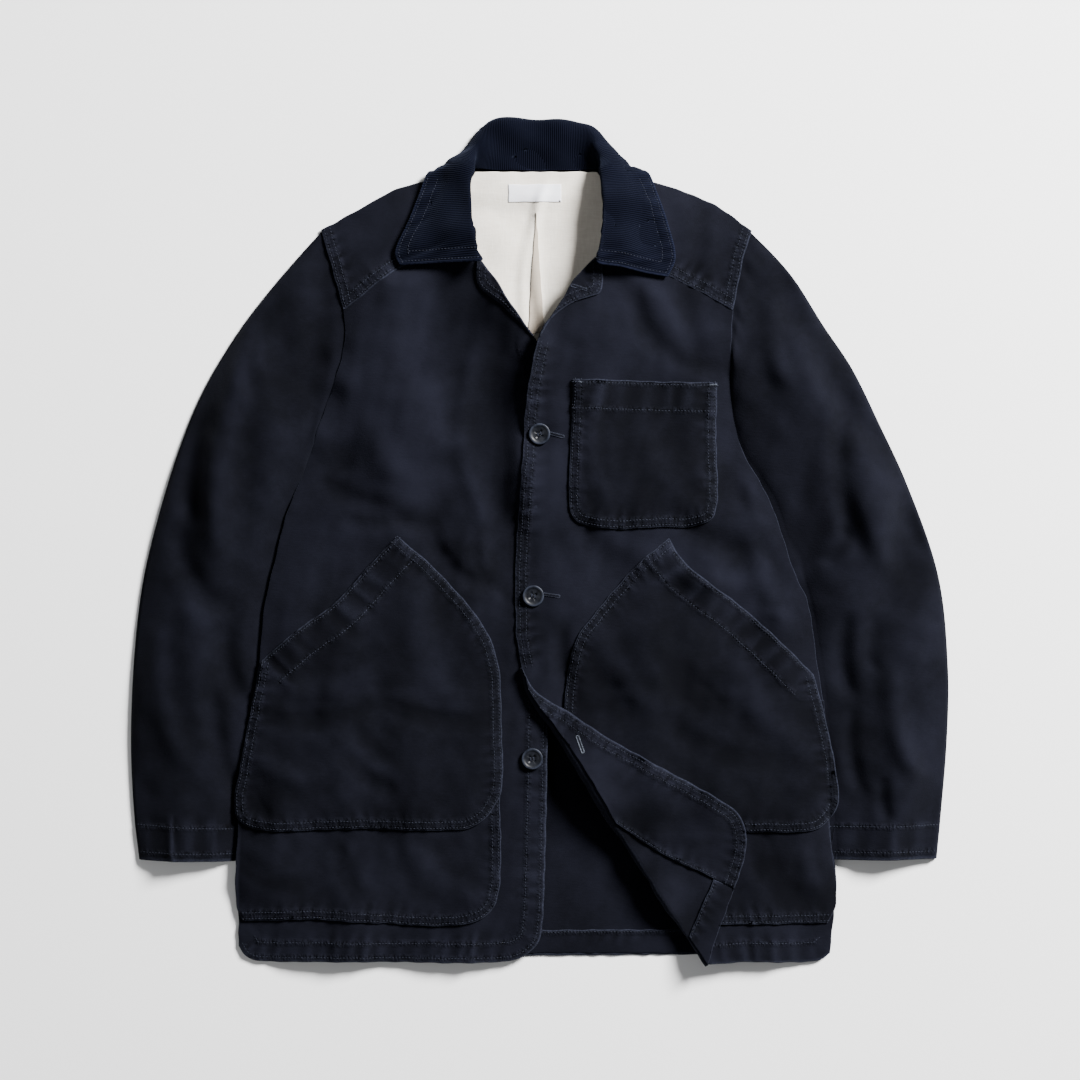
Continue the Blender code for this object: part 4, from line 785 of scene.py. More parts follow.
def front_bottom(x, y, side):
    """A front and its yoke. The left front is a layer higher where it crosses the right one."""
    low = back_bottom(x, y) + LAYER + hollow(x, y)
    if side == "right":
        return low + lift(x, y, "right")
    crossing = LAYER * over(OUTLINES["front_right"], x, y, OVERLAP_RAMP)
    return low + np.maximum(lift(x, y, "left"), lift(x, y, "right")) + crossing


def pocket_gape(x, y, side):
    """A slanted pocket's puff and the slack of its opening edge."""
    opening = distance_to(RUNS[f"waist_opening_{side}"], x, y)
    deep = swell(OUTLINES[f"waist_pocket_{side}"], x, y, POCKET_REACH)
    corners = RUNS[f"waist_opening_{side}"][[0, -1]]
    ends = np.min([np.hypot(x - end[0], y - end[1]) for end in corners], axis=0)
    slack = np.exp(-opening / GAPE_REACH) * ease(ends / GAPE_REACH)
    return POCKET_PUFF * deep + POCKET_GAPE * slack * inside(OUTLINES[f"waist_pocket_{side}"], x, y)


def flap_rise(x, y):
    """How far the left front's turned corner stands off the pocket under it, higher towards its fold."""
    low = ease((FOLD_TOP[1] - y) / (FOLD_TOP[1] - FOLD_FOOT[1]))
    roll = 2 * (FLAP_ROLL_TOP + (FLAP_ROLL_HEM - FLAP_ROLL_TOP) * low)
    roll *= np.exp(-nearest_of(CORNER_FOLD, x, y) / FLAP_REACH)
    return LAYER * over(OUTLINES["waist_pocket_left"], x, y, STACK_RAMP) + roll


def creases(name, x, y):
    """The creases of one piece, each a soft trough or ridge with the cloth pushed up beside it."""
    total = np.zeros(len(x))
    for x1, y1, x2, y2, width, height in CREASES.get(name, ()):
        length = math.hypot(x2 - x1, y2 - y1)
        way_x, way_y = (x2 - x1) / length, (y2 - y1) / length
        along = ((x - x1) * way_x + (y - y1) * way_y) / length
        across = (x - x1) * way_y - (y - y1) * way_x
        bow = CREASE_BOW * length * 4 * along * (1 - along)
        square = ((across - bow) / (width * CREASE_WIDE)) ** 2
        tails = ease(along / CREASE_TAIL + 1) * ease((1 - along) / CREASE_TAIL + 1)
        tall = math.copysign(min(abs(height) * CREASE_TALL, CREASE_STEEP * width), height)
        total += tall * tails * np.exp(-square) * (1 - CREASE_BESIDE * square)
    return total


def calm(x, y):
    """0 at the shoulder and side folds, where the cloth is pressed flat, rising to 1 away from them."""
    folds = nearest_of(BODY_FOLDS, x, y)
    sewn_down = np.min([np.hypot(x - place[0], y - place[1]) for place in BUTTON_PLACES], axis=0)
    leaves = np.maximum(*(over(OUTLINES[leaf], x, y, LEAF_RAMP) for leaf in ("leaf_right", "leaf_left")))
    return (1 - np.exp(-folds / CALM_REACH)) * (1 - np.exp(-(sewn_down / CALM_REACH) ** 2)) * (1 - leaves)


def body_relief(x, y):
    """Creases and slack of the fronts, which all that lies on them shares."""
    slack = SLACK_WIDE * undulation("body wide", x * BODY_STRETCH[0], y * BODY_STRETCH[1], BODY_WAVE)
    slack += SLACK_FINE * undulation("body fine", x, y, BODY_WAVE_FINE)
    deepest = np.maximum(hollow(x, y) - HOLLOW_LEFT, 0)
    relief = calm(x, y) * (creases("body", x, y) + slack)
    return np.where(relief < 0, deepest * np.tanh(relief / np.maximum(deepest, SMALL)), relief)


def own_relief(name, x, y):
    """Creases and slack of a piece that lies on another, never below it."""
    rise = creases(name, x, y) + SLACK_FINE * undulation(name, x, y, OWN_WAVE)
    edge = swell(OUTLINES[name], x, y, OWN_REACH)
    return np.maximum(edge * (rise + OWN_LOFT), 0)


def sewn(piece, x, y):
    """How a piece's seams thicken it, and what its finish needs there, in the columns of NO_SEAM."""
    raised, wrinkled = np.zeros((2, len(x)))
    finish = np.tile(NO_SEAM, (len(x), 1))
    apart = np.full(len(x), FAR_OFF)
    for number, (runs, band, rows, pucker) in enumerate(SEAMS.get(piece, ()), start=1):
        line = joined_open([EDGES[run] for run in runs])
        low, high = line.min(0) - band - PUCKER_SPAN, line.max(0) + band + PUCKER_SPAN
        near = np.nonzero((x > low[0]) & (x < high[0]) & (y > low[1]) & (y < high[1]))[0]
        if not len(near):
            continue
        along, away = place_on(line, x[near], y[near])
        raised[near] = np.maximum(raised[near], BAND_RISE * (1 - ease((away - band) / BAND_RAMP)))
        beyond = np.maximum(away - band, 0) / PUCKER_REACH
        slow = uneven(f"{piece} {number} slow", along, PUCKER_VARIES)
        length = PUCKER_LENGTH * (1 + (band / PUCKER_BAND) ** 2)
        slant = PUCKER_SLANT / (1 + 2 * band / PUCKER_BAND)
        wave = uneven(f"{piece} {number}", along + slant * away, length)
        wave *= (PUCKER_EVEN + (1 - PUCKER_EVEN) * slow) * np.exp(-beyond ** 2)
        wrinkled[near] += pucker * PUCKER_TALL * wave
        # Painted shade in the puckers' troughs and painted light on their ridges, in the tone column.
        finish[near, 6] += PUCKER_SHADE * wave
        rubbed = RUBBED_PUCKER * np.clip(wave, 0, 1) * np.exp(-(away / (band + RUBBED_PAST)) ** 2)
        rubbed = np.maximum(rubbed, np.exp(-(away / RUBBED_EDGE) ** 2))
        finish[near, 0] = np.maximum(finish[near, 0], rubbed)
        to_rows = np.min([np.abs(away - row) for row in rows], axis=0)
        closer = to_rows < apart[near]
        chosen = near[closer]
        apart[chosen] = to_rows[closer]
        past_end = (along[closer] < ON_RUN) | (along[closer] > lengths_along(line)[-1] - ON_RUN)
        finish[chosen, 1], finish[chosen, 2] = number, along[closer]
        finish[chosen, 3] = np.where(past_end, FAR_OFF, away[closer])
        finish[chosen, 4], finish[chosen, 5] = rows[0], rows[-1]
    return raised + np.maximum(wrinkled, -PUCKER_DEEPEST - raised), finish


# The underside of each sheet, with its creases.

def low_of(sheet, x, y):
    """How high the underside of a sheet lies."""
    side = "right" if "right" in sheet else "left"
    if sheet in ("back", "yoke_back"):
        return back_bottom(x, y)
    if sheet == "back_hem":
        return back_bottom(x, y) + LAYER
    if sheet == "lining":
        slack = LINING_SLACK * (1 + undulation("lining", x, y, LINING_WAVE))
        return back_bottom(x, y) + LAYER + np.maximum(slack + creases("lining", x, y), 0)
    if sheet in ("lining_pleat", "label"):
        return low_of("lining", x, y) + LINING + 0.1
    if sheet.startswith(("front", "yoke_front")):
        return front_bottom(x, y, side) + body_relief(x, y)
    if sheet.startswith("lapel"):
        return low_of(f"front_{side}", x, y) + LAYER
    if sheet == "chest_pocket" or sheet.startswith("lower_pocket"):
        return low_of(f"front_{side}", x, y) + LAYER + own_relief(sheet, x, y)
    if sheet.startswith("waist_pocket"):
        lower = f"lower_pocket_{side}"
        beneath = over(OUTLINES[lower], x, y, STACK_RAMP) * (LAYER + own_relief(lower, x, y))
        raised = beneath + pocket_gape(x, y, side) + own_relief(sheet, x, y)
        return low_of(f"front_{side}", x, y) + LAYER + raised
    if sheet == "flap":
        start = ease(np.hypot(x - FOLD_TOP[0], y - FOLD_TOP[1]) / FLAP_START)
        slack = FLAP_SLACK * undulation("flap", x, y, FLAP_WAVE)
        return low_of("waist_pocket_left", x, y) + LAYER + (flap_rise(x, y) - LAYER + slack) * start
    return low_of("flap", x, y) + LAYER


def crease_shade_of(sheet, x, y):
    """How much painted light a sheet's cloth gets on a crest, up to 1, or painted shade in a trough, down to -1.
    """
    if sheet in SMOOTH_SHEETS:
        return np.zeros(len(x))
    if sheet in CORNER_SHEETS:
        return SLACK_SHADE * undulation("flap", x, y, FLAP_WAVE)
    own = CREASE_SHADE_OWN * creases(sheet, x, y)
    return np.tanh((calm(x, y) * creases("body", x, y) + own) / CREASE_SHADE_TALL)


def faces_of(sheet, x, y):
    """The underside and upper side of a sheet, how worn it is, and its painted crease shade and tone."""
    low = low_of(sheet, x, y)
    thick, worn = sewn(sheet, x, y)
    # The painted light and shade of the creases, and the piece's tone, go into the tone column.
    worn[:, 6] += CREASE_SHADE_SHARE * crease_shade_of(sheet, x, y) + PIECE_TONE.get(sheet, 0)
    return low, low + WALLS.get(sheet, CANVAS) + thick, worn


# The plan map and the shells cut from it.

def rows_beside(line, offset):
    """The runs of points at this distance on both sides of a line."""
    across = leftward(line) * offset
    return line + across, line - across


class PlanMap:
    """Triangles over the plan, with every outline among their edges, finest beside the seams."""

    def __init__(self, runs, near, far, beside):
        edges, numbers = [], {}
        for run in runs.values():
            ids = [numbers.setdefault(tuple(np.round(place, 3)), len(numbers)) for place in run]
            edges += list(zip(ids, ids[1:]))
        points = np.array(list(numbers))
        on_runs = points
        if beside:
            rows = np.vstack([row for run in runs.values() for row in rows_beside(run, beside)])
            points = self.thinned(points, rows, beside * 0.8)
        for spacing, close in ((near, True), (far, False)):
            points = self.thinned(points, self.lattice(spacing, on_runs, close, near != far), spacing * 0.72)
        places, _, faces, *_ = delaunay_2d_cdt([Vector(place) for place in points], edges, [], 0, MERGE)
        self.places = np.array([tuple(place) for place in places])
        self.faces = np.array([tuple(face) for face in faces])
        a, b, c = (self.places[self.faces[:, corner]] for corner in range(3))
        turned = (b[:, 0] - a[:, 0]) * (c[:, 1] - a[:, 1]) - (b[:, 1] - a[:, 1]) * (c[:, 0] - a[:, 0]) < 0
        self.faces[turned] = self.faces[turned][:, ::-1]
        self.middles = self.places[self.faces].mean(axis=1)
        self.x, self.y = self.places.T
        self.runs = runs

    @staticmethod
    def thinned(points, more, clear):
        """The points, and those of the further ones that keep clear of them."""
        tree = KDTree(len(points))
        for number, (x, y) in enumerate(points):
            tree.insert((x, y, 0), number)
        tree.balance()
        kept = [place for place in more if tree.find((place[0], place[1], 0))[2] > clear]
        return np.vstack((points, kept)) if kept else points

    @staticmethod
    def lattice(spacing, on_runs, close, banded):
        """Places on a three-sided lattice, close to the runs or away from them."""
        rows = np.arange(-BEYOND - spacing * 3, BEYOND, spacing * math.sqrt(3) / 2)
        grid = np.array([(x + (row % 2) * spacing / 2, y) for row, y in enumerate(rows)
                         for x in np.arange(-BEYOND, BEYOND, spacing)])
        x, y = grid.T
        kept = np.any([inside(outline, x, y) for outline in PLAN_OUTLINES], axis=0)
        if banded:
            cell = NEAR_EDGE
            occupied = {(int(px // cell) + i, int(py // cell) + j)
                        for px, py in on_runs for i in (-1, 0, 1) for j in (-1, 0, 1)}
            beside = np.array([(int(px // cell), int(py // cell)) in occupied for px, py in grid])
            kept &= beside == close
        return grid[kept]

    @functools.cache
    def cut(self, sheet):
        """The faces inside a sheet's outline, less what is cut away beyond the turned corner."""
        outline = joined(*(self.runs[run] for run in PIECES[sheet]))
        x, y = self.middles.T
        within = inside(outline, x, y)
        if sheet in ("waist_pocket_left", "lower_pocket_left"):
            fold = [self.runs[run] for run in CORNER_FOLD]
            corners = ((BEYOND, FOLD_FOOT[1]), (BEYOND, BEYOND), (FOLD_TOP[0], BEYOND))
            within &= inside(np.vstack((joined_open(fold), corners)), x, y)
        return self.faces[within]

    @functools.cache
    def sheet(self, name):
        """A sheet's faces, underside, upper side and wear, the last three for every place of the map."""
        faces = self.cut(name)
        used = np.unique(faces)
        low, high = np.zeros((2, len(self.places)))
        worn = np.zeros((len(self.places), len(NO_SEAM)))
        low[used], high[used], worn[used] = faces_of(name, self.x[used], self.y[used])
        return faces, low, high, worn


def rim_of(faces):
    """A sheet's boundary edges, each in the direction that keeps the sheet on its left."""
    edges = np.vstack((faces[:, :2], faces[:, 1:], faces[:, ::-2]))
    size = int(faces.max()) + 1
    return edges[~np.isin(edges[:, 0] * size + edges[:, 1], edges[:, 1] * size + edges[:, 0])]


def fold_chain(plan, rim, runs):
    """The places of a rim that lie on some runs, in the rim's own direction."""
    line = joined_open([plan.runs[run] for run in runs])
    spots = plan.places[rim]
    on_line = [distance_to(line, *spot.T) < ON_RUN for spot in (spots[:, 0], spots[:, 1], spots.mean(axis=1))]
    after = dict(rim[np.all(on_line, axis=0)].tolist())
    found = [next(iter(set(after) - set(after.values())))]
    while found[-1] in after:
        found.append(after[found[-1]])
    return np.array(found)


class ClothShell:
    """One closed shell, made of sheets with rounded rims and of the rolled folds that join them."""

    def __init__(self, plan):
        self.plan = plan
        self.points, self.worn, self.faces, self.sheets = [], [], [], []
        self.count = 0

    def add(self, places, heights, worn):
        """Adds points and gives their numbers. worn has the columns of NO_SEAM, or the first alone."""
        self.points.append(np.column_stack((places, heights)))
        if np.ndim(worn) < 2:
            worn, rubbed = np.tile(NO_SEAM, (len(heights), 1)), worn
            worn[:, 0] = rubbed
        self.worn.append(worn)
        self.count += len(heights)
        return np.arange(self.count - len(heights), self.count)

    def sheet(self, name, folds=(), lapping=False):
        """Adds a sheet. folds are the chains of its rim that are left open for a roll."""
        faces, low, high, worn = self.plan.sheet(name)
        rim = rim_of(faces)
        folded = {edge for fold in folds for edge in zip(fold[:-1].tolist(), fold[1:].tolist())}
        rim = np.array([edge for edge in rim.tolist() if tuple(edge) not in folded])
        way = self.plan.places[rim[:, 1]] - self.plan.places[rim[:, 0]]
        out = np.column_stack((way[:, 1], -way[:, 0])) / np.maximum(np.hypot(*way.T), SMALL)[:, None]
        push = np.zeros((len(self.plan.places), 2))
        np.add.at(push, rim[:, 0], out)
        np.add.at(push, rim[:, 1], out)
        push /= np.maximum(np.hypot(*push.T), SMALL)[:, None]
        if folds:
            push[np.concatenate(folds)] = 0
        radius = (high - low) / 2
        spots = self.plan.places - push * (radius - (LAP if lapping else 0))[:, None]
        used = np.unique(faces)
        numbers = np.zeros((2, len(spots)), dtype=int)
        numbers[0, used] = self.add(spots[used], high[used], worn[used])
        numbers[1, used] = self.add(spots[used], low[used], 0)
        self.faces += [numbers[0][faces], numbers[1][faces[:, ::-1]]]
        edge = np.unique(rim)
        rows = [numbers[0]]
        for step in range(1, RIM_STEPS):
            turn = math.pi * step / RIM_STEPS
            row = np.zeros(len(spots), dtype=int)
            middle = (high + low)[edge] / 2
            row[edge] = self.add(spots[edge] + push[edge] * (radius[edge] * math.sin(turn))[:, None],
                                 middle + radius[edge] * math.cos(turn), max(math.cos(turn / 1.4), 0))
            rows.append(row)
        rows.append(numbers[1])
        a, b = rim.T
        for upper, lower in zip(rows, rows[1:]):
            self.faces += [np.column_stack((lower[a], lower[b], upper[b])),
                           np.column_stack((lower[a], upper[b], upper[a]))]
        self.sheets.append(numbers[::-1])

    def roll(self, fold):
        """Joins the first and the last sheet along a fold, a chain of places with the cloth on its left."""
        places = self.plan.places[fold]
        outward = -leftward(places)
        every = np.vstack(self.points)
        (low, high), (upper_low, upper_high) = self.sheets[0], self.sheets[-1]
        for start, end, flip in ((low[fold], upper_high[fold], False), (high[fold], upper_low[fold], True)):
            z0, z1 = every[start, 2], every[end, 2]
            rows = [start]
            for step in range(1, FOLD_STEPS):
                turn = math.pi * step / FOLD_STEPS
                reach = (z1 - z0) / 2 * math.sin(turn) * (1 - FOLD_FLAT)
                rows.append(self.add(places + outward * reach[:, None],
                                     (z0 + z1) / 2 - (z1 - z0) / 2 * math.cos(turn), FOLD_WORN * (not flip)))
            rows.append(end)
            for lower, upper in zip(rows, rows[1:]):
                quads = np.column_stack((lower[:-1], lower[1:], upper[1:], upper[:-1]))
                quads = quads[:, ::-1] if flip else quads
                self.faces += [quads[:, :3], quads[:, [0, 2, 3]]]

    def finished(self, name, material):
        """The shell as an object, its open fold ends closed."""
        return make_object(f"{name}_cloth", np.vstack(self.points), np.vstack(self.faces), material,
                           worn=np.concatenate(self.worn), close=len(self.sheets) > 1)


def linked(name, data):
    """An object in the scene."""
    obj = bpy.data.objects.new(name, data)
    bpy.context.scene.collection.objects.link(obj)
    return obj


def made_plain(obj):
    """Turns an object's modifiers into plain mesh."""
    plain = bpy.data.meshes.new_from_object(obj.evaluated_get(bpy.context.evaluated_depsgraph_get()))
    obj.modifiers.clear()
    obj.data = plain


def keep_values(mesh, name, values):
    """Stores one value for each point of a mesh."""
    mesh.attributes.new(name, "FLOAT", "POINT").data.foreach_set("value", values.copy())


def make_object(name, points, faces, material, worn=None, uv=None, close=False):
    """An object from points in millimetres and triangles or quads that face outwards."""
    mesh = bpy.data.meshes.new(name)
    faces = np.asarray(faces)
    sides = faces.shape[1]
    mesh.vertices.add(len(points))
    mesh.vertices.foreach_set("co", (np.asarray(points) * MM).ravel())
    mesh.loops.add(faces.size)
    mesh.loops.foreach_set("vertex_index", faces.ravel())
    mesh.polygons.add(len(faces))
    mesh.polygons.foreach_set("loop_start", np.arange(0, faces.size, sides))
    if worn is not None:
        worn = np.asarray(worn, dtype=float).reshape(len(points), -1)
        keep_values(mesh, "worn", worn[:, 0])
        if worn.shape[1] > 1:
            corners = worn[faces]
            mixed = np.ptp(corners[:, :, 1], axis=1) + np.ptp(corners[:, :, 2], axis=1) / ONE_SEAM >= 1
            corners[mixed, :, 3] = FAR_OFF
            layer = mesh.uv_layers.new(name="seam")
            layer.data.foreach_set("uv", corners[:, :, 2:4].reshape(-1))
            # Column 6, kept as crest, holds painted light and shade of creases and puckers, and the piece's tone.
            for column, kept in ((4, "first_row"), (5, "second_row"), (6, "crest")):
                keep_values(mesh, kept, worn[:, column])
    if uv is not None:
        layer = mesh.uv_layers.new(name="cloth")
        layer.data.foreach_set("uv", np.asarray(uv)[faces.ravel()].ravel())
    mesh.update(calc_edges=True)
    mesh.validate()
    if close:
        work = bmesh.new()
        work.from_mesh(mesh)
        bmesh.ops.holes_fill(work, edges=[edge for edge in work.edges if edge.is_boundary])
        bmesh.ops.triangulate(work, faces=[face for face in work.faces if len(face.verts) > 4])
        bmesh.ops.recalc_face_normals(work, faces=work.faces)
        work.to_mesh(mesh)
        work.free()
    mesh.polygons.foreach_set("use_smooth", np.ones(len(mesh.polygons), dtype=bool))
    mesh.materials.append(material)
    return linked(name, mesh)


def tidied(obj):
    """Merges doubled points, fills open holes and turns every face outward."""
    work = bmesh.new()
    work.from_mesh(obj.data)
    bmesh.ops.remove_doubles(work, verts=work.verts, dist=MERGE * MM)
    bmesh.ops.dissolve_degenerate(work, edges=work.edges, dist=MERGE * MM)
    bmesh.ops.holes_fill(work, edges=[edge for edge in work.edges if edge.is_boundary])
    bmesh.ops.recalc_face_normals(work, faces=work.faces)
    work.to_mesh(obj.data)
    work.free()


def rim_rings(top, base, out):
    """Rings of points that round a rim off from its top to its base, pushed out by up to out."""
    turns = math.pi * np.arange(1, RIM_STEPS) / RIM_STEPS
    return [(top + base) / 2 + (top - base) / 2 * math.cos(turn) + out * math.sin(turn) for turn in turns]


def make_tube(name, rings, wall, material, worn):
    """A walled tube from rings of points that run round it, with a rounded rim at each end."""
    rings = np.asarray(rings)
    count, around = rings.shape[:2]
    closed = np.concatenate((rings[:, -1:], rings, rings[:, :1]), axis=1)
    normal = np.cross(np.gradient(closed, axis=1)[:, 1:-1], np.gradient(rings, axis=0))
    normal /= np.maximum(np.linalg.norm(normal, axis=2), SMALL)[:, :, None]
    if (normal[:, :, 2] * (rings[:, :, 2] - rings[:, :, 2].mean(axis=1)[:, None])).sum() < 0:
        normal = -normal
    inner = rings - normal * wall
    plain = np.tile(NO_SEAM, (around, 1))
    loops, wear = [], []
    for skin, other, rubbed in ((rings, inner, 1.0), (inner[::-1], rings[::-1], 0.0)):
        loops += list(skin)
        wear += list(worn) if skin is rings else [plain] * count
        way = skin[-1] - skin[-2]
        way /= np.maximum(np.linalg.norm(way, axis=1), SMALL)[:, None]
        loops += rim_rings(skin[-1], other[-1], way * wall / 2)
        wear += [plain + (rubbed, 0, 0, 0, 0, 0, 0)] * (RIM_STEPS - 1)
    total = len(loops)
    ring, side = np.arange(total)[:, None] * around, np.arange(around)[None]
    after, following = (side + 1) % around, (np.arange(total)[:, None] + 1) % total * around
    corners = (ring + side, following + side, following + after, ring + after)
    quads = np.stack(np.broadcast_arrays(*corners), axis=2)
    obj = make_object(name, np.vstack(loops), quads.reshape(-1, 4), material, worn=np.concatenate(wear))
    face_out(obj)
    return obj


def face_out(obj):
    """Turns a closed shell's faces outwards if they point in."""
    work = bmesh.new()
    work.from_mesh(obj.data)
    if work.calc_volume(signed=True) < 0:
        bmesh.ops.reverse_faces(work, faces=work.faces)
        work.to_mesh(obj.data)
    work.free()


# Finishes.

def add_node(tree, kind, settings, inputs):
    """A new node of a tree, with its settings made and its inputs set or linked."""
    made = tree.nodes.new(kind)
    for key, value in dict(settings).items():
        setattr(made, key, value)
    for key, value in inputs.items():
        socket = made.inputs[int(key[1:]) if key[1:].isdigit() else key.replace("_", " ")]
        if isinstance(value, bpy.types.NodeSocket):
            tree.links.new(value, socket)
        else:
            socket.default_value = value
    return made


class Finish:
    """A material's node tree, written one node at a time."""

    def __init__(self, name, roughness, specular=0.2, sheen=0.0, sheen_tint=(1, 1, 1)):
        self.material = bpy.data.materials.new(name)
        self.material.use_nodes = True
        self.tree = self.material.node_tree
        self.shader = self.tree.nodes["Principled BSDF"]
        self.shader.inputs["Roughness"].default_value = roughness
        self.shader.inputs["Specular IOR Level"].default_value = specular
        self.shader.inputs["Sheen Weight"].default_value = sheen
        self.shader.inputs["Sheen Roughness"].default_value = 0.5
        self.shader.inputs["Sheen Tint"].default_value = (*sheen_tint, 1)

    def node(self, kind, output=0, settings=(), **inputs):
        """Adds a node and gives one of its outputs."""
        return add_node(self.tree, f"ShaderNode{kind}", settings, inputs).outputs[output]

    def places(self, turn=0.0, stretch=(1, 1, 1), uv=False):
        """Coordinates over the piece, turned in its plane and stretched."""
        source = self.node("TexCoord", output="UV" if uv else "Object")
        return self.node("Mapping", Vector=source, Rotation=(0, 0, math.radians(turn)), Scale=stretch)

    def noise(self, size, detail=2.0, turn=0.0, stretch=(1, 1, 1), rough=0.5, uv=False):
        """Uneven patches about this many millimetres across, from 0 to 1."""
        scale = 1 / (size * (1 if uv else MM))
        return self.node("TexNoise", Vector=self.places(turn, stretch, uv), Scale=scale, Detail=detail,
                         Roughness=rough)

    def bands(self, pitch, turn, distortion=0.5, uv=False):
        """Soft parallel bands with this pitch in millimetres, from 0 to 1."""
        scale = 2 * math.pi / 20 / (pitch * (1 if uv else MM))
        return self.node("TexWave", output="Fac", Vector=self.places(turn, uv=uv), Scale=scale,
                         Distortion=distortion, Detail=1.0, Detail_Scale=1.5)

    def ranged(self, value, low, high, to_low=0.0, to_high=1.0):
        return self.node("MapRange", Value=value, From_Min=low, From_Max=high, To_Min=to_low, To_Max=to_high)

    def maths(self, kind, a, b):
        return self.node("Math", settings={"operation": kind}, _0=a, _1=b)

    def summed(self, *parts):
        """The sum of some values, each one times its share."""
        total, *others = [self.maths("MULTIPLY", value, share) for value, share in parts]
        for other in others:
            total = self.maths("ADD", total, other)
        return total

    def attribute(self, name):
        """A value that the mesh holds at its points."""
        return self.node("Attribute", output="Fac", settings={"attribute_name": name})

    def mixed(self, share, a, b):
        """One colour going over into another."""
        a, b = (value if isinstance(value, bpy.types.NodeSocket) else (*value, 1) for value in (a, b))
        return self.node("Mix", output=2, settings={"data_type": "RGBA"}, _0=share, _6=a, _7=b)

    def done(self, colour, height=None, depth=0.2, strength=1.0, roughness=None):
        """Ends the tree with a colour, and a relief that is so many millimetres deep."""
        self.tree.links.new(colour, self.shader.inputs["Base Color"])
        if roughness is not None:
            self.tree.links.new(roughness, self.shader.inputs["Roughness"])
        if height is not None:
            bump = self.node("Bump", Height=height, Distance=depth * MM, Strength=strength)
            self.tree.links.new(bump, self.shader.inputs["Normal"])
        return self.material


@functools.cache
def washed_canvas():
    """Washed cotton canvas: a fine twill, mottled, roped and rubbed pale beside its rows of stitches."""
    colours = bpy.context.scene.jacket_colours
    finish = Finish("washed navy canvas", 0.9, specular=0.035, sheen=0.02, sheen_tint=(0.7, 0.75, 1.0))
    twill = finish.bands(1.15, 58, distortion=1.4)
    grain = finish.noise(0.9, detail=3, rough=0.7)
    slub = finish.noise(1.5, detail=3, turn=3, stretch=(0.25, 1, 1))
    patch = finish.noise(17, detail=4, rough=0.6)
    wide = finish.noise(75, detail=2)
    weave = finish.summed((twill, 0.45), (grain, 0.55))
    clouds = finish.ranged(wide, 0.3, 0.7, -0.5, 0.5)
    streaks = finish.ranged(slub, 0.3, 0.7, -0.5, 0.5)
    # The crest attribute paints light onto the crests of creases and puckers and shade into their troughs.
    tone = finish.summed((weave, 0.55), (patch, 0.45), (clouds, 0.3), (streaks, 0.07),
                         (finish.attribute("crest"), 0.22))
    away = finish.node("SeparateXYZ", output=1, Vector=finish.node("TexCoord", output="UV"))
    rows = [finish.attribute(name) for name in ("first_row", "second_row")]
    apart = [finish.maths("ABSOLUTE", finish.maths("SUBTRACT", away, row), 0.0) for row in rows]
    apart = finish.maths("MINIMUM", *apart)
    rope = finish.noise(3.6, detail=3, rough=0.65, turn=14, stretch=(1, 0.42, 1), uv=True)
    near = finish.ranged(apart, 0.3, 4.2, 1.0, 0.0)
    # The rope's ridges are rubbed pale, which is wear, and painted shade darkens the hollows between them.
    ridges = finish.maths("MULTIPLY", finish.ranged(rope, 0.38, 0.62), near)
    rope_shade = finish.maths("MULTIPLY", finish.ranged(rope, 0.56, 0.36), near)
    cloth = finish.mixed(finish.ranged(tone, 0.2, 0.86), colours.canvas_deep, colours.canvas_lit)
    cloth = finish.mixed(finish.maths("MULTIPLY", rope_shade, 0.9), cloth, colours.canvas_rope_shade)
    rubbed = finish.maths("MAXIMUM", finish.attribute("worn"), finish.maths("MULTIPLY", ridges, 0.3))
    fray = finish.ranged(finish.noise(1.7, detail=3, rough=0.75), 0.3, 0.68)
    broken = finish.maths("MULTIPLY", rubbed, fray)
    cloth = finish.mixed(finish.maths("MULTIPLY", broken, 0.6), cloth, colours.canvas_worn)
    height = finish.summed((weave, 0.2), (slub, 0.2), (ridges, 1.0))
    height = finish.maths("SUBTRACT", height, finish.ranged(apart, 0.2, 1.3, 0.35, 0.0))
    return finish.done(cloth, height, depth=1.0, strength=0.9)


@functools.cache
def fine_corduroy():
    """Fine corduroy: wales across the collar from the neck seam to the edge, with a soft nap."""
    colours = bpy.context.scene.jacket_colours
    finish = Finish("fine navy corduroy", 0.95, specular=0.02, sheen=0.03, sheen_tint=(0.5, 0.6, 1.0))
    wale = finish.node("TexWave", output="Fac", Vector=finish.places(uv=True), Distortion=0.0,
                       Scale=2 * math.pi / 20 * MM / bpy.context.scene.jacket_sizes.wale)
    rib = finish.ranged(wale, 0.15, 0.75)
    nap = finish.noise(1.3, detail=3, rough=0.7, stretch=(1, 0.4, 1), uv=True)
    patch = finish.noise(22, detail=3, uv=True)
    tone = finish.summed((rib, 0.55), (nap, 0.25), (patch, 0.25))
    cloth = finish.mixed(finish.ranged(tone, 0.22, 0.86), colours.corduroy_deep, colours.corduroy_lit)
    rubbed = finish.maths("MULTIPLY", finish.attribute("worn"), finish.ranged(nap, 0.3, 0.8, 0.05, 0.5))
    cloth = finish.mixed(rubbed, cloth, colours.corduroy_worn)
    return finish.done(cloth, finish.summed((rib, 1.0), (nap, 0.35)), depth=0.5, strength=0.8)


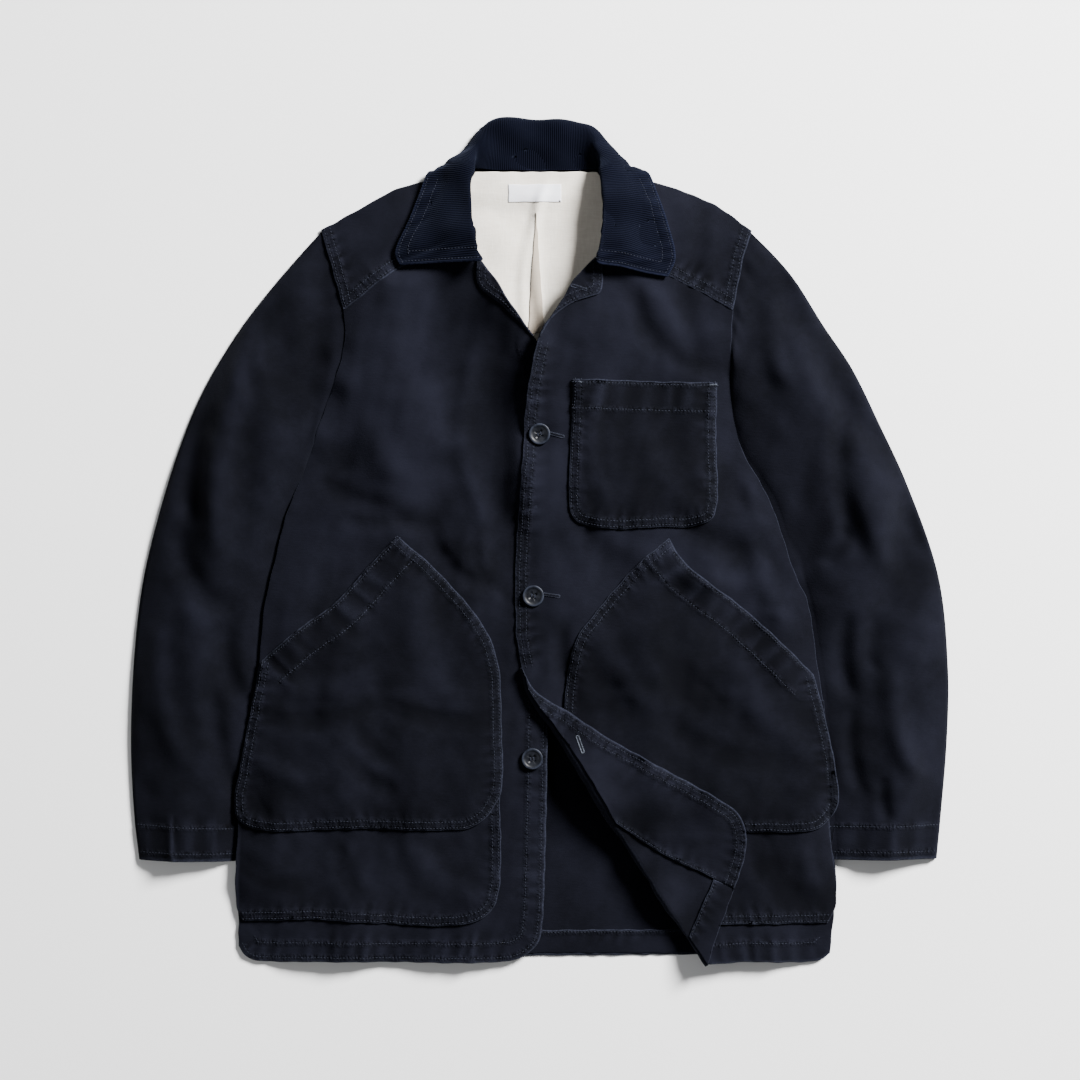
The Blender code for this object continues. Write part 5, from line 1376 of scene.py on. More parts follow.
@functools.cache
def slub_lining(pleat=False):
    """Warm off-white cotton with slubs along and across, and painted brownish shade deep in the pleat."""
    colours = bpy.context.scene.jacket_colours
    finish = Finish("slub lining with painted pleat shade" if pleat else "natural slub lining", 0.9, specular=0.15, sheen=0.1)
    across = finish.noise(1.5, detail=3, stretch=(0.12, 1, 1), rough=0.6)
    down = finish.noise(1.5, detail=3, stretch=(1, 0.12, 1), rough=0.6)
    patch = finish.noise(26, detail=3)
    tone = finish.summed((across, 0.4), (down, 0.35), (patch, 0.25))
    cloth = finish.mixed(finish.ranged(tone, 0.34, 0.62), colours.lining_shade, colours.lining)
    # The pleat is mixed towards a brown painted shade, standing for the shadow between its folds.
    if pleat:
        cloth = finish.mixed(0.8, cloth, colours.lining_pleat_shade)
    return finish.done(cloth, finish.maths("ADD", across, down), depth=0.25, strength=0.5)


@functools.cache
def plain_label():
    """Closely woven white tape with nothing on it."""
    finish = Finish("plain woven label", 0.6, specular=0.3, sheen=0.05)
    weft = finish.bands(0.5, 90, distortion=0.3)
    fray = finish.noise(2.4, detail=3, stretch=(0.3, 1, 1))
    cloth = finish.mixed(finish.maths("MULTIPLY", finish.maths("ADD", weft, fray), 0.5), (0.62, 0.63, 0.68),
                         bpy.context.scene.jacket_colours.label)
    return finish.done(cloth, weft, depth=0.12, strength=0.5)


@functools.cache
def satin_plastic():
    """Moulded navy plastic, a little cloudy and paler towards the top of its rim."""
    colours = bpy.context.scene.jacket_colours
    finish = Finish("satin navy plastic", 0.42, specular=0.16)
    cloud = finish.noise(4.5, detail=3)
    colour = finish.mixed(finish.ranged(cloud, 0.35, 0.7), colours.button_deep, colours.button_lit)
    # Paler towards the top of the rim.
    rubbed = finish.maths("MULTIPLY", finish.attribute("worn"), finish.ranged(cloud, 0.3, 0.6, 0.3, 0.9))
    colour = finish.mixed(rubbed, colour, colours.button_rim)
    return finish.done(colour, finish.noise(0.8, detail=2), depth=0.05, strength=0.4,
                       roughness=finish.ranged(cloud, 0.3, 0.7, 0.34, 0.55))


@functools.cache
def thread(name):
    """Spun thread with a twist along each stitch."""
    colours = bpy.context.scene.jacket_colours
    dark, light = {"navy": (colours.thread_deep, colours.thread_lit),
                   "pale": (colours.worn_thread, colours.pale_thread)}[name]
    finish = Finish(f"{name} sewing thread", 0.85, specular=0.12)
    twist = finish.noise(0.7, detail=2, turn=35, stretch=(0.4, 1, 1))
    colour = finish.mixed(finish.ranged(twist, 0.35, 0.68), dark, light)
    return finish.done(colour, twist, depth=0.08, strength=0.6)


@functools.cache
def pale_floor():
    """Plain pale surface with the faintest unevenness."""
    finish = Finish("plain pale floor", 0.85, specular=0.1)
    cloud = finish.noise(400, detail=2)
    return finish.done(finish.mixed(cloud, (0.80, 0.80, 0.80), (0.84, 0.84, 0.84)))


# Stitches along paths, by Geometry Nodes.

@functools.cache
def stitch_tree(kind):
    """Short stitches one after another along a path."""
    tree = bpy.data.node_groups.new(f"Stitch row {kind}", "GeometryNodeTree")
    tree.interface.new_socket("Path", in_out="INPUT", socket_type="NodeSocketGeometry")
    for name, kind_of in (("Pitch", "Float"), ("Length", "Float"), ("Width", "Float"), ("Turn", "Float"),
                          ("Seed", "Int")):
        tree.interface.new_socket(name, in_out="INPUT", socket_type=f"NodeSocket{kind_of}")
    tree.interface.new_socket("Stitches", in_out="OUTPUT", socket_type="NodeSocketGeometry")

    def node(name, output=0, settings=(), **inputs):
        return add_node(tree, name, settings, inputs).outputs[output]

    given = tree.nodes.new("NodeGroupInput").outputs
    path = node("GeometryNodeMeshToCurve", Mesh=given["Path"])
    path = node("GeometryNodeResampleCurve", settings={"mode": "LENGTH"}, Curve=path, Length=given["Pitch"])
    ball = node("GeometryNodeMeshUVSphere", output="Mesh", Segments=5, Rings=4, Radius=0.5)
    size = node("ShaderNodeCombineXYZ", X=given["Length"], Y=given["Width"], Z=given["Width"])
    ball = node("GeometryNodeTransform", Geometry=ball, Scale=size)
    facing = node("FunctionNodeAlignRotationToVector", settings={"axis": "X"},
                  Vector=node("GeometryNodeInputTangent"))
    sway = node("FunctionNodeRandomValue", output=1, _2=-STITCH_SWAY, _3=STITCH_SWAY, Seed=given["Seed"])
    turn = node("ShaderNodeMath", settings={"operation": "ADD"}, _0=given["Turn"], _1=sway)
    turn = node("FunctionNodeEulerToRotation", Euler=node("ShaderNodeCombineXYZ", Z=turn))
    facing = node("FunctionNodeRotateRotation", settings={"rotation_space": "LOCAL"}, Rotation=facing,
                  Rotate_By=turn)
    low, high = STITCH_GROWN
    grown = node("FunctionNodeRandomValue", output=1, _2=low, _3=high, Seed=given["Seed"])
    placed = node("GeometryNodeInstanceOnPoints", Points=path, Instance=ball, Rotation=facing, Scale=grown)
    real = node("GeometryNodeRealizeInstances", Geometry=placed)
    real = node("GeometryNodeSetShadeSmooth", _0=real)
    real = node("GeometryNodeSetMaterial", Geometry=real, Material=thread(kind))
    add_node(tree, "NodeGroupOutput", (), {"Stitches": real})
    return tree


def make_stitches(name, paths, kind="navy", pitch=None, length=None, width=None, turn=0.0):
    """Stitches along paths in millimetres, as one plain mesh."""
    sizes = bpy.context.scene.jacket_sizes
    points = np.vstack(paths)
    starts = np.cumsum([0] + [len(path) for path in paths])
    edges = np.vstack([np.column_stack((np.arange(a, b - 1), np.arange(a + 1, b)))
                       for a, b in zip(starts, starts[1:])])
    mesh = bpy.data.meshes.new(f"{name} path")
    mesh.from_pydata((points * MM).tolist(), edges.tolist(), [])
    obj = linked(name, mesh)
    tree = stitch_tree(kind)
    rows = obj.modifiers.new("Stitches", "NODES")
    rows.node_group = tree
    given = {"Pitch": pitch or sizes.stitch_pitch, "Length": length or sizes.stitch_length,
             "Width": width or sizes.thread_width, "Turn": turn, "Seed": zlib.crc32(name.encode()) % 1000}
    for item in tree.interface.items_tree:
        if item.item_type == "SOCKET" and item.name in given:
            rows[item.identifier] = given[item.name]
    made_plain(obj)
    obj.data.name = name
    bpy.data.meshes.remove(mesh)
    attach(obj, "root")
    return obj


def unbroken(run):
    """The stretches of a run that have no gap in them."""
    breaks = np.nonzero(np.linalg.norm(np.diff(run, axis=0), axis=1) > 4 * FINE_STEP)[0] + 1
    return [part for part in np.split(run, breaks) if len(part) > 3]


def row_paths(sheet):
    """Where the rows of stitches of a sheet run, on its upper side."""
    outline = joined(*(EDGES[run] for run in PIECES[sheet]))
    paths = []
    for runs, _, rows, _ in SEAMS.get(sheet, ()):
        line = joined_open([EDGES[run] for run in runs])
        for offset in rows:
            for row in rows_beside(line, offset):
                middle = row[len(row) // 2][None]
                if not inside(outline, *middle.T)[0]:
                    continue
                x, y = row.T
                kept = inside(outline, x, y) & (distance_to(line, x, y) > offset - STITCH_CLEAR)
                if "edge_right_hidden" in runs:
                    kept &= y < PLACKET_ROW_TOP
                if sheet in ("waist_pocket_left", "lower_pocket_left"):
                    kept &= inside(OUTLINES["front_left"], x, y)
                for name in COVERED_BY.get(sheet, ()):
                    kept &= ~inside(OUTLINES[name], x, y)
                x, y = row[kept].T
                if len(x) < 4:
                    continue
                high = faces_of(sheet, x, y)[1]
                run = np.column_stack((x, y, high + STITCH_PROUD))
                paths += unbroken(run)
    return paths


# Pieces.

def finish_sheet(obj, name, nodes=None, with_pieces=()):
    """Puts a cloth piece on its body and hides the imported parts it stands for."""
    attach(obj, "root")
    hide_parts(*(nodes or (name,)))
    return obj


@functools.cache
def fine_map():
    """The map of all that shows."""
    runs = {name: run for name, run in EDGES.items() if name not in OFF_PLAN}
    return PlanMap(runs, LATTICE_NEAR, LATTICE_FAR, ROW_BESIDE)


@functools.cache
def back_map():
    """The coarser map of the back, which hardly shows."""
    return PlanMap({name: EDGES[name] for name in BACK_RUNS}, BACK_LATTICE, BACK_LATTICE, 0)


def make_panel(name, material, stitched=True):
    """A flat piece of one layer and its rows of stitches."""
    shell = ClothShell(fine_map())
    shell.sheet(name, lapping=name in LAPPING)
    obj = shell.finished(name, material)
    paths = row_paths(name) if stitched else []
    rows = [make_stitches(f"{name}_stitches", paths)] if paths else []
    return finish_sheet(obj, name, with_pieces=rows)


def make_yoke():
    """The yoke: one piece under the neck, folded forward over both shoulders."""
    plan = fine_map()
    shell = ClothShell(plan)
    under = rim_of(plan.cut("yoke_back"))
    folds = {side: fold_chain(plan, under, (f"shoulder_{side}",)) for side in ("right", "left")}
    shell.sheet("yoke_back", list(folds.values()))
    rows = []
    for side, fold in folds.items():
        shell.sheet(f"yoke_front_{side}", [fold], lapping=True)
        shell.roll(fold)
        rows += row_paths(f"yoke_front_{side}")
    obj = shell.finished("yoke", washed_canvas())
    return finish_sheet(obj, "yoke", with_pieces=[make_stitches("yoke_stitches", rows)])


def make_front_left():
    """The over front, its lower corner turned back along a soft roll."""
    plan = fine_map()
    shell = ClothShell(plan)
    fold = fold_chain(plan, rim_of(plan.cut("front_left")), CORNER_FOLD)
    shell.sheet("front_left", [fold], lapping=True)
    shell.sheet("flap", [fold])
    shell.roll(fold)
    obj = shell.finished("front_left", washed_canvas())
    rows = make_stitches("front_left_stitches", row_paths("front_left"))
    return finish_sheet(obj, "front_left", with_pieces=[rows])


def closed_ring(line, high):
    """A ring of a sleeve: its upper layer, rounded down at both folds to the flat layer beneath."""
    radius = high[[0, -1]] / 2
    away = (line[-1] - line[0]) / np.linalg.norm(line[-1] - line[0])
    line[0] += away * radius[0]
    line[-1] -= away * radius[1]
    turns = math.pi * np.arange(1, 4) / 4
    push = away * np.sin(turns)[:, None]
    inner_fold = np.column_stack((line[-1] + radius[1] * push, radius[1] * (1 + np.cos(turns))))
    outer_fold = np.column_stack((line[0] - radius[0] * push, radius[0] * (1 - np.cos(turns))))
    under = line[-1] + np.linspace(0, 1, SLEEVE_BENEATH)[:, None] * (line[0] - line[-1])
    under = np.column_stack((under, np.zeros(SLEEVE_BENEATH)))
    return np.vstack((np.column_stack((line, high)), inner_fold, under, outer_fold))


def make_sleeve(side, table):
    """A sleeve: one flattened tube from under the armhole's edge to the cuff, open at both."""
    name = f"sleeve_{side}"
    outward = np.array((-1.0 if side == "right" else 1.0, 0.0))
    armhole = joined_open([EDGES[f"armhole_{side}_high"], EDGES[f"armhole_{side}_low"]])
    armhole = spaced(armhole, SLEEVE_ACROSS)
    armhole_length = lengths_along(armhole)[-1]
    share = lengths_along(armhole) / armhole_length
    curve = armhole - (armhole[0] + share[:, None] * (armhole[-1] - armhole[0]))
    bows = list(SLEEVE_BOW) + [0.0] * (len(table) - len(SLEEVE_BOW))
    first = (*armhole[0], *armhole[-1], 0.0, table[0][-1] * SLEEVE_START, 1.0)
    stations = np.array([first] + [(*row, bow) for row, bow in zip(table, bows)])
    length = lengths_along(stations[:, :2])[-1]
    stations = spaced(fine_curve(stations, cuts=SLEEVE_CUTS), int(length / SLEEVE_STEP))
    reached = (lengths_along(stations[:, :2]) + lengths_along(stations[:, 2:4])) / 2
    seam_high = low_of(f"front_{side}", *armhole.T) - SEAM_GAP
    inner = stations[:, 2:4].T
    beside = distance_to(EDGES[f"side_{side}"], *inner) * np.where(inside(OUTLINES["back"], *inner), -1, 1)
    stations[:, 2] -= outward[0] * np.maximum(beside + SLEEVE_TUCK, 0)
    rings, worn = [], []
    plain = np.tile(NO_SEAM, (SLEEVE_BENEATH + 6, 1))
    for far, (outer_x, outer_y, inner_x, inner_y, tuck, puff, bow) in zip(reached, stations):
        start, end = np.array((outer_x, outer_y)), np.array((inner_x, inner_y))
        open_share = min(share[-2], 1 - tuck / np.linalg.norm(end - start))
        across = np.append(share[:-1] * open_share / share[-2], 1.0)
        line = start + across[:, None] * (end - start) + bow * curve
        under = SLEEVE_UNDER * max(0, 1 - far / SLEEVE_UNDER_END)
        line = line - outward * (under * np.sin(math.pi * share) ** 0.5)[:, None]
        dome = np.sin(math.pi * np.clip(across / open_share, 0, 1) ** (math.log(0.5) / math.log(SLEEVE_PEAK)))
        full = SLEEVE_FLAT + puff * np.maximum(dome, 0) ** SLEEVE_FULL
        head = ease(far / SLEEVE_HEAD)
        x, y = line.T
        slack = SLEEVE_SLACK * undulation(name, x * SLEEVE_STRETCH[0], y * SLEEVE_STRETCH[1], SLEEVE_WAVE)
        slack += SLACK_FINE * undulation(name + " fine", x, y * SLEEVE_STRETCH_FINE, SLEEVE_WAVE_FINE)
        loose = 1 - np.exp(-2 * np.minimum(across, 1 - across) / SLEEVE_CALM)
        relief = (SLEEVE_CREASE * creases(name, x, y) + slack) * loose * ease(far / SLEEVE_CREASE_START)
        gathers = SLEEVE_PUCKER * uneven(name + " head", share * armhole_length, SLEEVE_PUCKER_LENGTH)
        relief += gathers * np.exp(-(far / SLEEVE_PUCKER_REACH) ** 2) * ease(far / SLEEVE_PUCKER_START)
        thick, rubbed = sewn(name, x, y)
        # Painted light and shade of the sleeve's creases, slack and gathers, and the sleeve's tone.
        rubbed[:, 6] += CREASE_SHADE_SHARE / 2 * np.tanh(relief / CREASE_SHADE_TALL) + PIECE_TONE.get(name, 0)
        high = np.maximum(seam_high + (full - seam_high) * head + relief + thick, SLEEVE_LEAST)
        rings.append(closed_ring(line, high))
        worn.append(np.vstack((rubbed, plain)))
    obj = make_tube(f"{name}_cloth", rings, CANVAS, washed_canvas(), worn)
    top = np.array(rings)[:, :SLEEVE_ACROSS + 1]
    from_cuff = reached[-1] - reached
    rows = []
    for row in SEAMS[name][0][2]:
        at = np.interp(-row, -from_cuff, np.arange(len(reached)))
        ring, part = int(at), at - int(at)
        rows.append(top[ring] * (1 - part) + top[min(ring + 1, len(top) - 1)] * part + (0, 0, STITCH_PROUD))
    return finish_sheet(obj, name, with_pieces=[make_stitches(f"{name}_stitches", rows)])


def collar_grid():
    """The collar's middle surface as a grid: stations along the neck by rows from the seam to the edge."""
    stations = np.array([spaced(fine_curve(station), COLLAR_ROWS) for station in COLLAR_STATIONS])
    flat = fine_curve(stations.reshape(len(stations), -1), cuts=COLLAR_CUTS)
    grid = flat.reshape(len(flat), COLLAR_ROWS + 1, 3)
    grid[:, :, 2] = np.maximum(grid[:, :, 2], CORDUROY / 2)
    return grid


def travelled(grid, axis):
    """How far each point of a grid is from the grid's start, along its stations or its rows."""
    steps = np.linalg.norm(np.diff(grid, axis=axis), axis=2)
    return np.insert(np.cumsum(steps, axis=axis), 0, 0, axis=axis)


def collar_rows(upper, grid, normal, u, v):
    """Where the rows of stitches run on the collar: along its outer edge and across both its front ends."""
    count, rows = grid.shape[:2]
    paths = []
    for row in COLLAR_STITCH_ROWS:
        line = []
        for i in range(count):
            if edge_room(u, i) > row:
                at = np.interp(v[i, -1] - row, v[i], np.arange(rows))
                if normal[i, int(at), 2] > FACES_UP and grid[i, int(at), 1] < LEAF_TOP:
                    line.append(on_grid(upper, i, at) + normal[i, int(at)] * STITCH_PROUD)
        paths.append(np.array(line))
        for ending, back in ((0, False), (count - 1, True)):
            side = []
            for j in np.arange(2, rows - 1):
                if v[ending, -1] - v[ending, j] < row:
                    break
                along = u[-1, j] - u[::-1, j] if back else u[:, j]
                at = np.interp(row, along, np.arange(count))
                at = count - 1 - at if back else at
                if normal[int(at), j, 2] > FACES_UP:
                    place = on_grid(upper.transpose(1, 0, 2), j, at)
                    side.append(place + normal[int(at), j] * STITCH_PROUD)
            paths.append(np.array(side))
    return [part for path in paths for part in unbroken(path)]


def make_collar():
    """The corduroy collar: a rolled band with the nap running to its edge, its leaves on the fronts."""
    grid = collar_grid()
    count, rows = grid.shape[:2]
    size = count * rows
    normal = np.cross(np.gradient(grid, axis=0), np.gradient(grid, axis=1))
    normal /= np.linalg.norm(normal, axis=2)[:, :, None]
    u, v = travelled(grid, 0), travelled(grid, 1)
    edge = np.minimum(v[:, -1:] - v, np.minimum(u, u[-1:] - u))
    flat_u, flat_v = np.broadcast_to(u[:, rows // 2][:, None], v.shape).ravel(), v.ravel()
    wave = uneven("collar", flat_u + PUCKER_SLANT * flat_v, COLLAR_PUCKER_LENGTH).reshape(v.shape)
    slack = undulation("collar", flat_u, flat_v, COLLAR_WAVE).reshape(v.shape)
    beyond = np.maximum(edge - COLLAR_BAND, 0)
    puckers = COLLAR_PUCKER * wave * np.exp(-(beyond / COLLAR_PUCKER_REACH) ** 2)
    puckers *= ease(edge / COLLAR_PUCKER_START)
    groove = sum(GROOVE * np.exp(-((edge - row) / GROOVE_WIDTH) ** 2) for row in COLLAR_STITCH_ROWS)
    doubled = COLLAR_BAND_RISE * (1 - ease((edge - COLLAR_BAND) / COLLAR_BAND_RAMP))
    relief = doubled + puckers - groove + COLLAR_SLACK * slack * ease(edge / COLLAR_SLACK_START)
    relief = np.where(normal[:, :, 2] > FACES_DOWN, relief, relief * UNDER_SHARE)
    relief *= np.clip(grid[:, :, 2] / COLLAR_CALM_BELOW, 0, 1)
    worn = RUBBED_PUCKER * np.clip(wave, 0, 1) * np.exp(-(edge / COLLAR_RUBBED_REACH) ** 2)
    worn = np.maximum(worn, np.exp(-(edge / COLLAR_RUBBED) ** 2))
    skins = [grid + normal * (CORDUROY / 2 + relief)[:, :, None], grid - normal * CORDUROY / 2]
    for skin in skins:
        skin[:, :, 2] = np.maximum(skin[:, :, 2], COLLAR_LEAST)
    number = np.arange(size).reshape(count, rows)
    quads = np.stack((number[:-1, :-1], number[1:, :-1], number[1:, 1:], number[:-1, 1:]), axis=2)
    quads = quads.reshape(-1, 4)
    points = [skin.reshape(-1, 3) for skin in skins]
    faces = [quads, quads[:, ::-1] + size]
    uv = [np.column_stack((flat_u, flat_v))] * 2
    wear = [worn.ravel(), np.zeros(size)]
    rim = np.concatenate((number[0, :], number[1:, -1], number[-1, -2::-1], number[-2:0:-1, 0]))
    middle = grid.reshape(-1, 3)
    border = middle[rim]
    out = np.cross(np.roll(border, -1, axis=0) - np.roll(border, 1, axis=0), normal.reshape(-1, 3)[rim])
    out /= np.maximum(np.linalg.norm(out, axis=1), SMALL)[:, None]
    out *= np.sign((out * (border - middle.mean(axis=0))).sum())
    rings = [rim]
    top, base = points[0][rim], points[1][rim]
    for ring in rim_rings(top, base, out * CORDUROY / 2):
        rings.append(np.arange(len(rim)) + sum(len(part) for part in points))
        points.append(ring)
        uv.append(np.column_stack((flat_u[rim], flat_v[rim])))
        wear.append(np.ones(len(rim)))
    rings.append(rim + size)
    for near, far in zip(rings, rings[1:]):
        faces.append(np.column_stack((near, np.roll(near, -1), np.roll(far, -1), far)))
    obj = make_object("collar_cloth", np.vstack(points), np.vstack(faces), fine_corduroy(),
                      worn=np.concatenate(wear), uv=np.vstack(uv))
    tidied(obj)
    stitches = make_stitches("collar_stitches", collar_rows(skins[0], grid, normal, u, v))
    return finish_sheet(obj, "collar", with_pieces=[stitches])


def edge_room(u, i):
    """How far a station is from the nearer front end of the collar."""
    middle = u.shape[1] // 2
    return min(u[i, middle], u[-1, middle] - u[i, middle])


def on_grid(grid, i, at):
    """A place between two points of a row of a grid."""
    j = min(int(at), grid.shape[1] - 2)
    return grid[i, j] + (grid[i, j + 1] - grid[i, j]) * (at - j)


def turned(profile, sides, place, floor):
    """Points and faces of a solid turned from (radius, height) pairs that start and end on its axis."""
    angles = 2 * math.pi * np.arange(sides) / sides
    rings = [np.column_stack((place[0] + radius * np.cos(angles), place[1] + radius * np.sin(angles),
                              np.full(sides, floor + height))) for radius, height in profile[1:-1]]
    ends = [np.array([(place[0], place[1], floor + height)]) for _, height in (profile[0], profile[-1])]
    points = np.vstack([ends[0]] + rings + [ends[1]])
    side = np.arange(sides)
    after = (side + 1) % sides
    faces = [np.column_stack((np.zeros(sides, dtype=int), 1 + after, 1 + side))]
    for level in range(len(rings) - 1):
        a, b = 1 + level * sides, 1 + (level + 1) * sides
        faces += [np.column_stack((a + side, a + after, b + after)),
                  np.column_stack((a + side, b + after, b + side))]
    last = 1 + (len(rings) - 1) * sides
    faces.append(np.column_stack((last + side, last + after, np.full(sides, len(points) - 1))))
    return points, np.vstack(faces)


def make_button(number, place):
    """A four-hole button with a raised rounded rim, sewn down with two bars of thread."""
    name = f"button_{number}"
    cad_low, cad_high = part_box(name)
    height = (cad_high[2] - cad_low[2]) / MM
    radius = bpy.context.scene.jacket_sizes.button_width / MM / 2
    sheet = "front_right" if number == len(BUTTON_PLACES) else "front_left"
    around = np.linspace(0, 2 * math.pi, 16)
    under = [faces_of(sheet, place[0] + far * np.cos(around), place[1] + far * np.sin(around))[1].max()
             for far in (0, radius / 2)]
    floor = max(cad_low[2] / MM, max(under) + BUTTON_CLEAR)
    dish = height - BUTTON_DISH
    rim_turns = np.linspace(0, math.pi / 2, 6)
    corner = [(radius + BUTTON_ROUND * (math.sin(turn) - 1), height + BUTTON_ROUND * (math.cos(turn) - 1))
              for turn in rim_turns]
    profile = [(0.0, 0.0), (radius - BUTTON_CHAMFER[0], 0.0), (radius, BUTTON_CHAMFER[1])] + corner[::-1]
    profile += [(radius - inward, height - down) for inward, down in BUTTON_STEPS]
    profile += [(radius * BUTTON_MIDDLE, dish - BUTTON_SAG), (0.0, dish - BUTTON_SAG)]
    points, faces = turned(profile, BUTTON_SIDES, place, floor)
    from_rim = np.abs(np.hypot(points[:, 0] - place[0], points[:, 1] - place[1]) - (radius - BUTTON_ROUND))
    # The top of the raised rim is paler.
    worn = np.exp(-(from_rim / 1.1) ** 2) * (points[:, 2] > floor + height - 1.2)
    obj = make_object(f"{name}_moulding", points, faces, satin_plastic(), worn=worn)
    bores = []
    for turn in range(4):
        angle = math.pi / 4 + turn * math.pi / 2 + BUTTON_TURN[number - 1]
        spot = (place[0] + BORE_SPREAD * math.cos(angle), place[1] + BORE_SPREAD * math.sin(angle))
        profile = ((0, BORE_BASE), (BORE_RADIUS, BORE_BASE), (BORE_RADIUS, height + 2), (0, height + 2))
        bores.append((spot, turned(profile, BORE_SIDES, spot, floor)))
    cutters = [make_object(f"{name} bore", *bore, satin_plastic()) for _, bore in bores]
    for cutter in cutters:
        cut = obj.modifiers.new("Thread hole", "BOOLEAN")
        cut.operation, cut.solver, cut.object = "DIFFERENCE", "EXACT", cutter
    made_plain(obj)
    tidied(obj)
    for cutter in cutters:
        bpy.data.objects.remove(cutter, do_unlink=True)
    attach(obj, "root")
    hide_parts(name)
    spots = [np.array(spot) for spot, _ in bores]
    bars = []
    for a, b in ((spots[0], spots[3]), (spots[1], spots[2])):
        for shift in (-BAR_APART, 0.0, BAR_APART):
            way = (b - a) / np.linalg.norm(b - a)
            side = np.array((-way[1], way[0])) * shift
            bars.append(np.array([
                (*(a + (b - a) * t + side), floor + dish + BAR_ARCH * math.sin(math.pi * t) - BAR_SUNK)
                for t in np.linspace(0, 1, 8)
            ]))
    make_stitches(f"{name}_thread", bars, **BAR_STITCH)
    return obj


def make_bar_tack(name, sheet, start, end):
    """A short bar of close stitches that holds a pocket's corner."""
    line = spaced(np.array((start, end), dtype=float), 8)
    path = np.column_stack((line, faces_of(sheet, *line.T)[1] + TACK_PROUD))
    make_stitches(name, [path], kind="pale", **TACK_STITCH)


def make_buttonhole(name, sheet, start, end, kind="navy"):
    """A worked buttonhole: close stitches round a slit, on a sheet's upper side."""
    start, end = np.array(start, dtype=float), np.array(end, dtype=float)
    way = (end - start) / np.linalg.norm(end - start)
    side = np.array((-way[1], way[0]))
    turns = np.linspace(0, math.pi, 7)
    bend = [HOLE_EDGE * (side * math.cos(turn) + way * math.sin(turn)) for turn in turns]
    ring = [end + step for step in bend] + [start - step for step in bend]
    ring = spaced(np.array(ring + ring[:1]), 60)
    path = np.column_stack((ring, faces_of(sheet, *ring.T)[1] + HOLE_PROUD))
    make_stitches(name, [path], kind=kind, **HOLE_STITCH)
    share = np.linspace(0.02, 0.98, 24)
    slit = start + (end - start) * share[:, None]
    width = SLIT_WIDTH * np.sin(math.pi * share) ** 0.4
    rings = [np.column_stack((slit + side * (width * math.cos(turn))[:, None],
                              faces_of(sheet, *slit.T)[1] + 0.05 + 0.3 * width * math.sin(turn)))
             for turn in 2 * math.pi * np.arange(8) / 8]
    points = np.stack(rings, axis=1).reshape(-1, 3)
    number = np.arange(len(points)).reshape(-1, 8)
    after = np.roll(number, -1, axis=1)
    faces = np.stack((number[:-1], after[:-1], after[1:], number[1:]), axis=2).reshape(-1, 4)
    slit = make_object(f"{name}_slit", points, faces, washed_canvas())
    tidied(slit)
    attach(slit, "root")


# Settings that a user would change.

def size(name, description, default):
    return FloatProperty(name=name, description=description, default=default, min=0.0, unit="LENGTH",
                         precision=4)


def colour(name, description, default):
    return FloatVectorProperty(name=name, description=description, default=default, subtype="COLOR", min=0.0,
                               max=1.0)


class JacketSizes(bpy.types.PropertyGroup):
    """Sizes of the sewing and of the stage."""

    stitch_pitch: size("Stitch Pitch", "From the start of one stitch to the next", 0.0032)
    stitch_length: size("Stitch Length", "Length of one stitch", 0.0026)
    thread_width: size("Thread Width", "Thickness of the sewing thread", 0.00062)
    wale: size("Wale", "From one rib of the corduroy to the next", 0.0019)
    button_width: size("Button Width", "Across a button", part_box("button_1")[1][0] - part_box("button_1")[0][0])
    camera_height: size("Camera Height", "From the surface up to the camera", 2.4735)


class JacketColours(bpy.types.PropertyGroup):
    """Colours of the cloths, threads and buttons."""

    # Deep and lit canvas also carry the painted light and shade of the creases, through the crest tone.
    canvas_deep: colour("Canvas, Deep", "Hollows of the canvas weave", (0.0010, 0.0011, 0.0020))
    canvas_lit: colour("Canvas, Lit", "Raised threads of the canvas", (0.0046, 0.0049, 0.0086))
    # Painted shade between the ridges of a roped seam.
    canvas_rope_shade: colour("Canvas, Rope Shade", "Between the ridges of a roped seam", (0.0003, 0.0003, 0.0006))
    canvas_worn: colour("Canvas, Worn", "Canvas rubbed pale at seams and edges", (0.024, 0.027, 0.042))
    corduroy_deep: colour("Corduroy, Deep", "Between the ribs of the corduroy", (0.0004, 0.0005, 0.0014))
    corduroy_lit: colour("Corduroy, Lit", "Top of the ribs of the corduroy", (0.0021, 0.0026, 0.0062))
    corduroy_worn: colour("Corduroy, Worn", "Corduroy rubbed at its edge", (0.014, 0.017, 0.036))
    lining: colour("Lining", "Off-white cotton", (0.66, 0.62, 0.55))
    lining_shade: colour("Lining, Shade", "Between the slubs of the lining", (0.56, 0.51, 0.44))
    # Painted shade down in the pleat of the lining.
    lining_pleat_shade: colour("Lining, Pleat Shade", "Down in the pleat of the lining", (0.20, 0.16, 0.12))
    label: colour("Label", "Plain white tape", (0.80, 0.80, 0.84))
    button_deep: colour("Button, Deep", "Darker clouds of the button", (0.0016, 0.0019, 0.0032))
    button_lit: colour("Button, Lit", "Lighter clouds of the button", (0.0038, 0.0046, 0.0074))
    # The paler colour at the top of the button's rim.
    button_rim: colour("Button, Rim", "Paler top of the button's rim", (0.014, 0.017, 0.027))
    thread_deep: colour("Thread, Deep", "Hollows of the navy thread", (0.008, 0.009, 0.014))
    thread_lit: colour("Thread, Lit", "Lit navy thread", (0.021, 0.024, 0.037))
    worn_thread: colour("Worn Thread", "Darker strands of the worn thread", (0.030, 0.034, 0.045))
    pale_thread: colour("Pale Thread", "Lighter strands of the worn thread", (0.085, 0.095, 0.115))


# Operators, one for each piece or group of like pieces.

class JacketPiece:
    """What the operators share."""

    bl_options = {"REGISTER", "UNDO"}

    def execute(self, context):
        self.build(context)
        return {"FINISHED"}


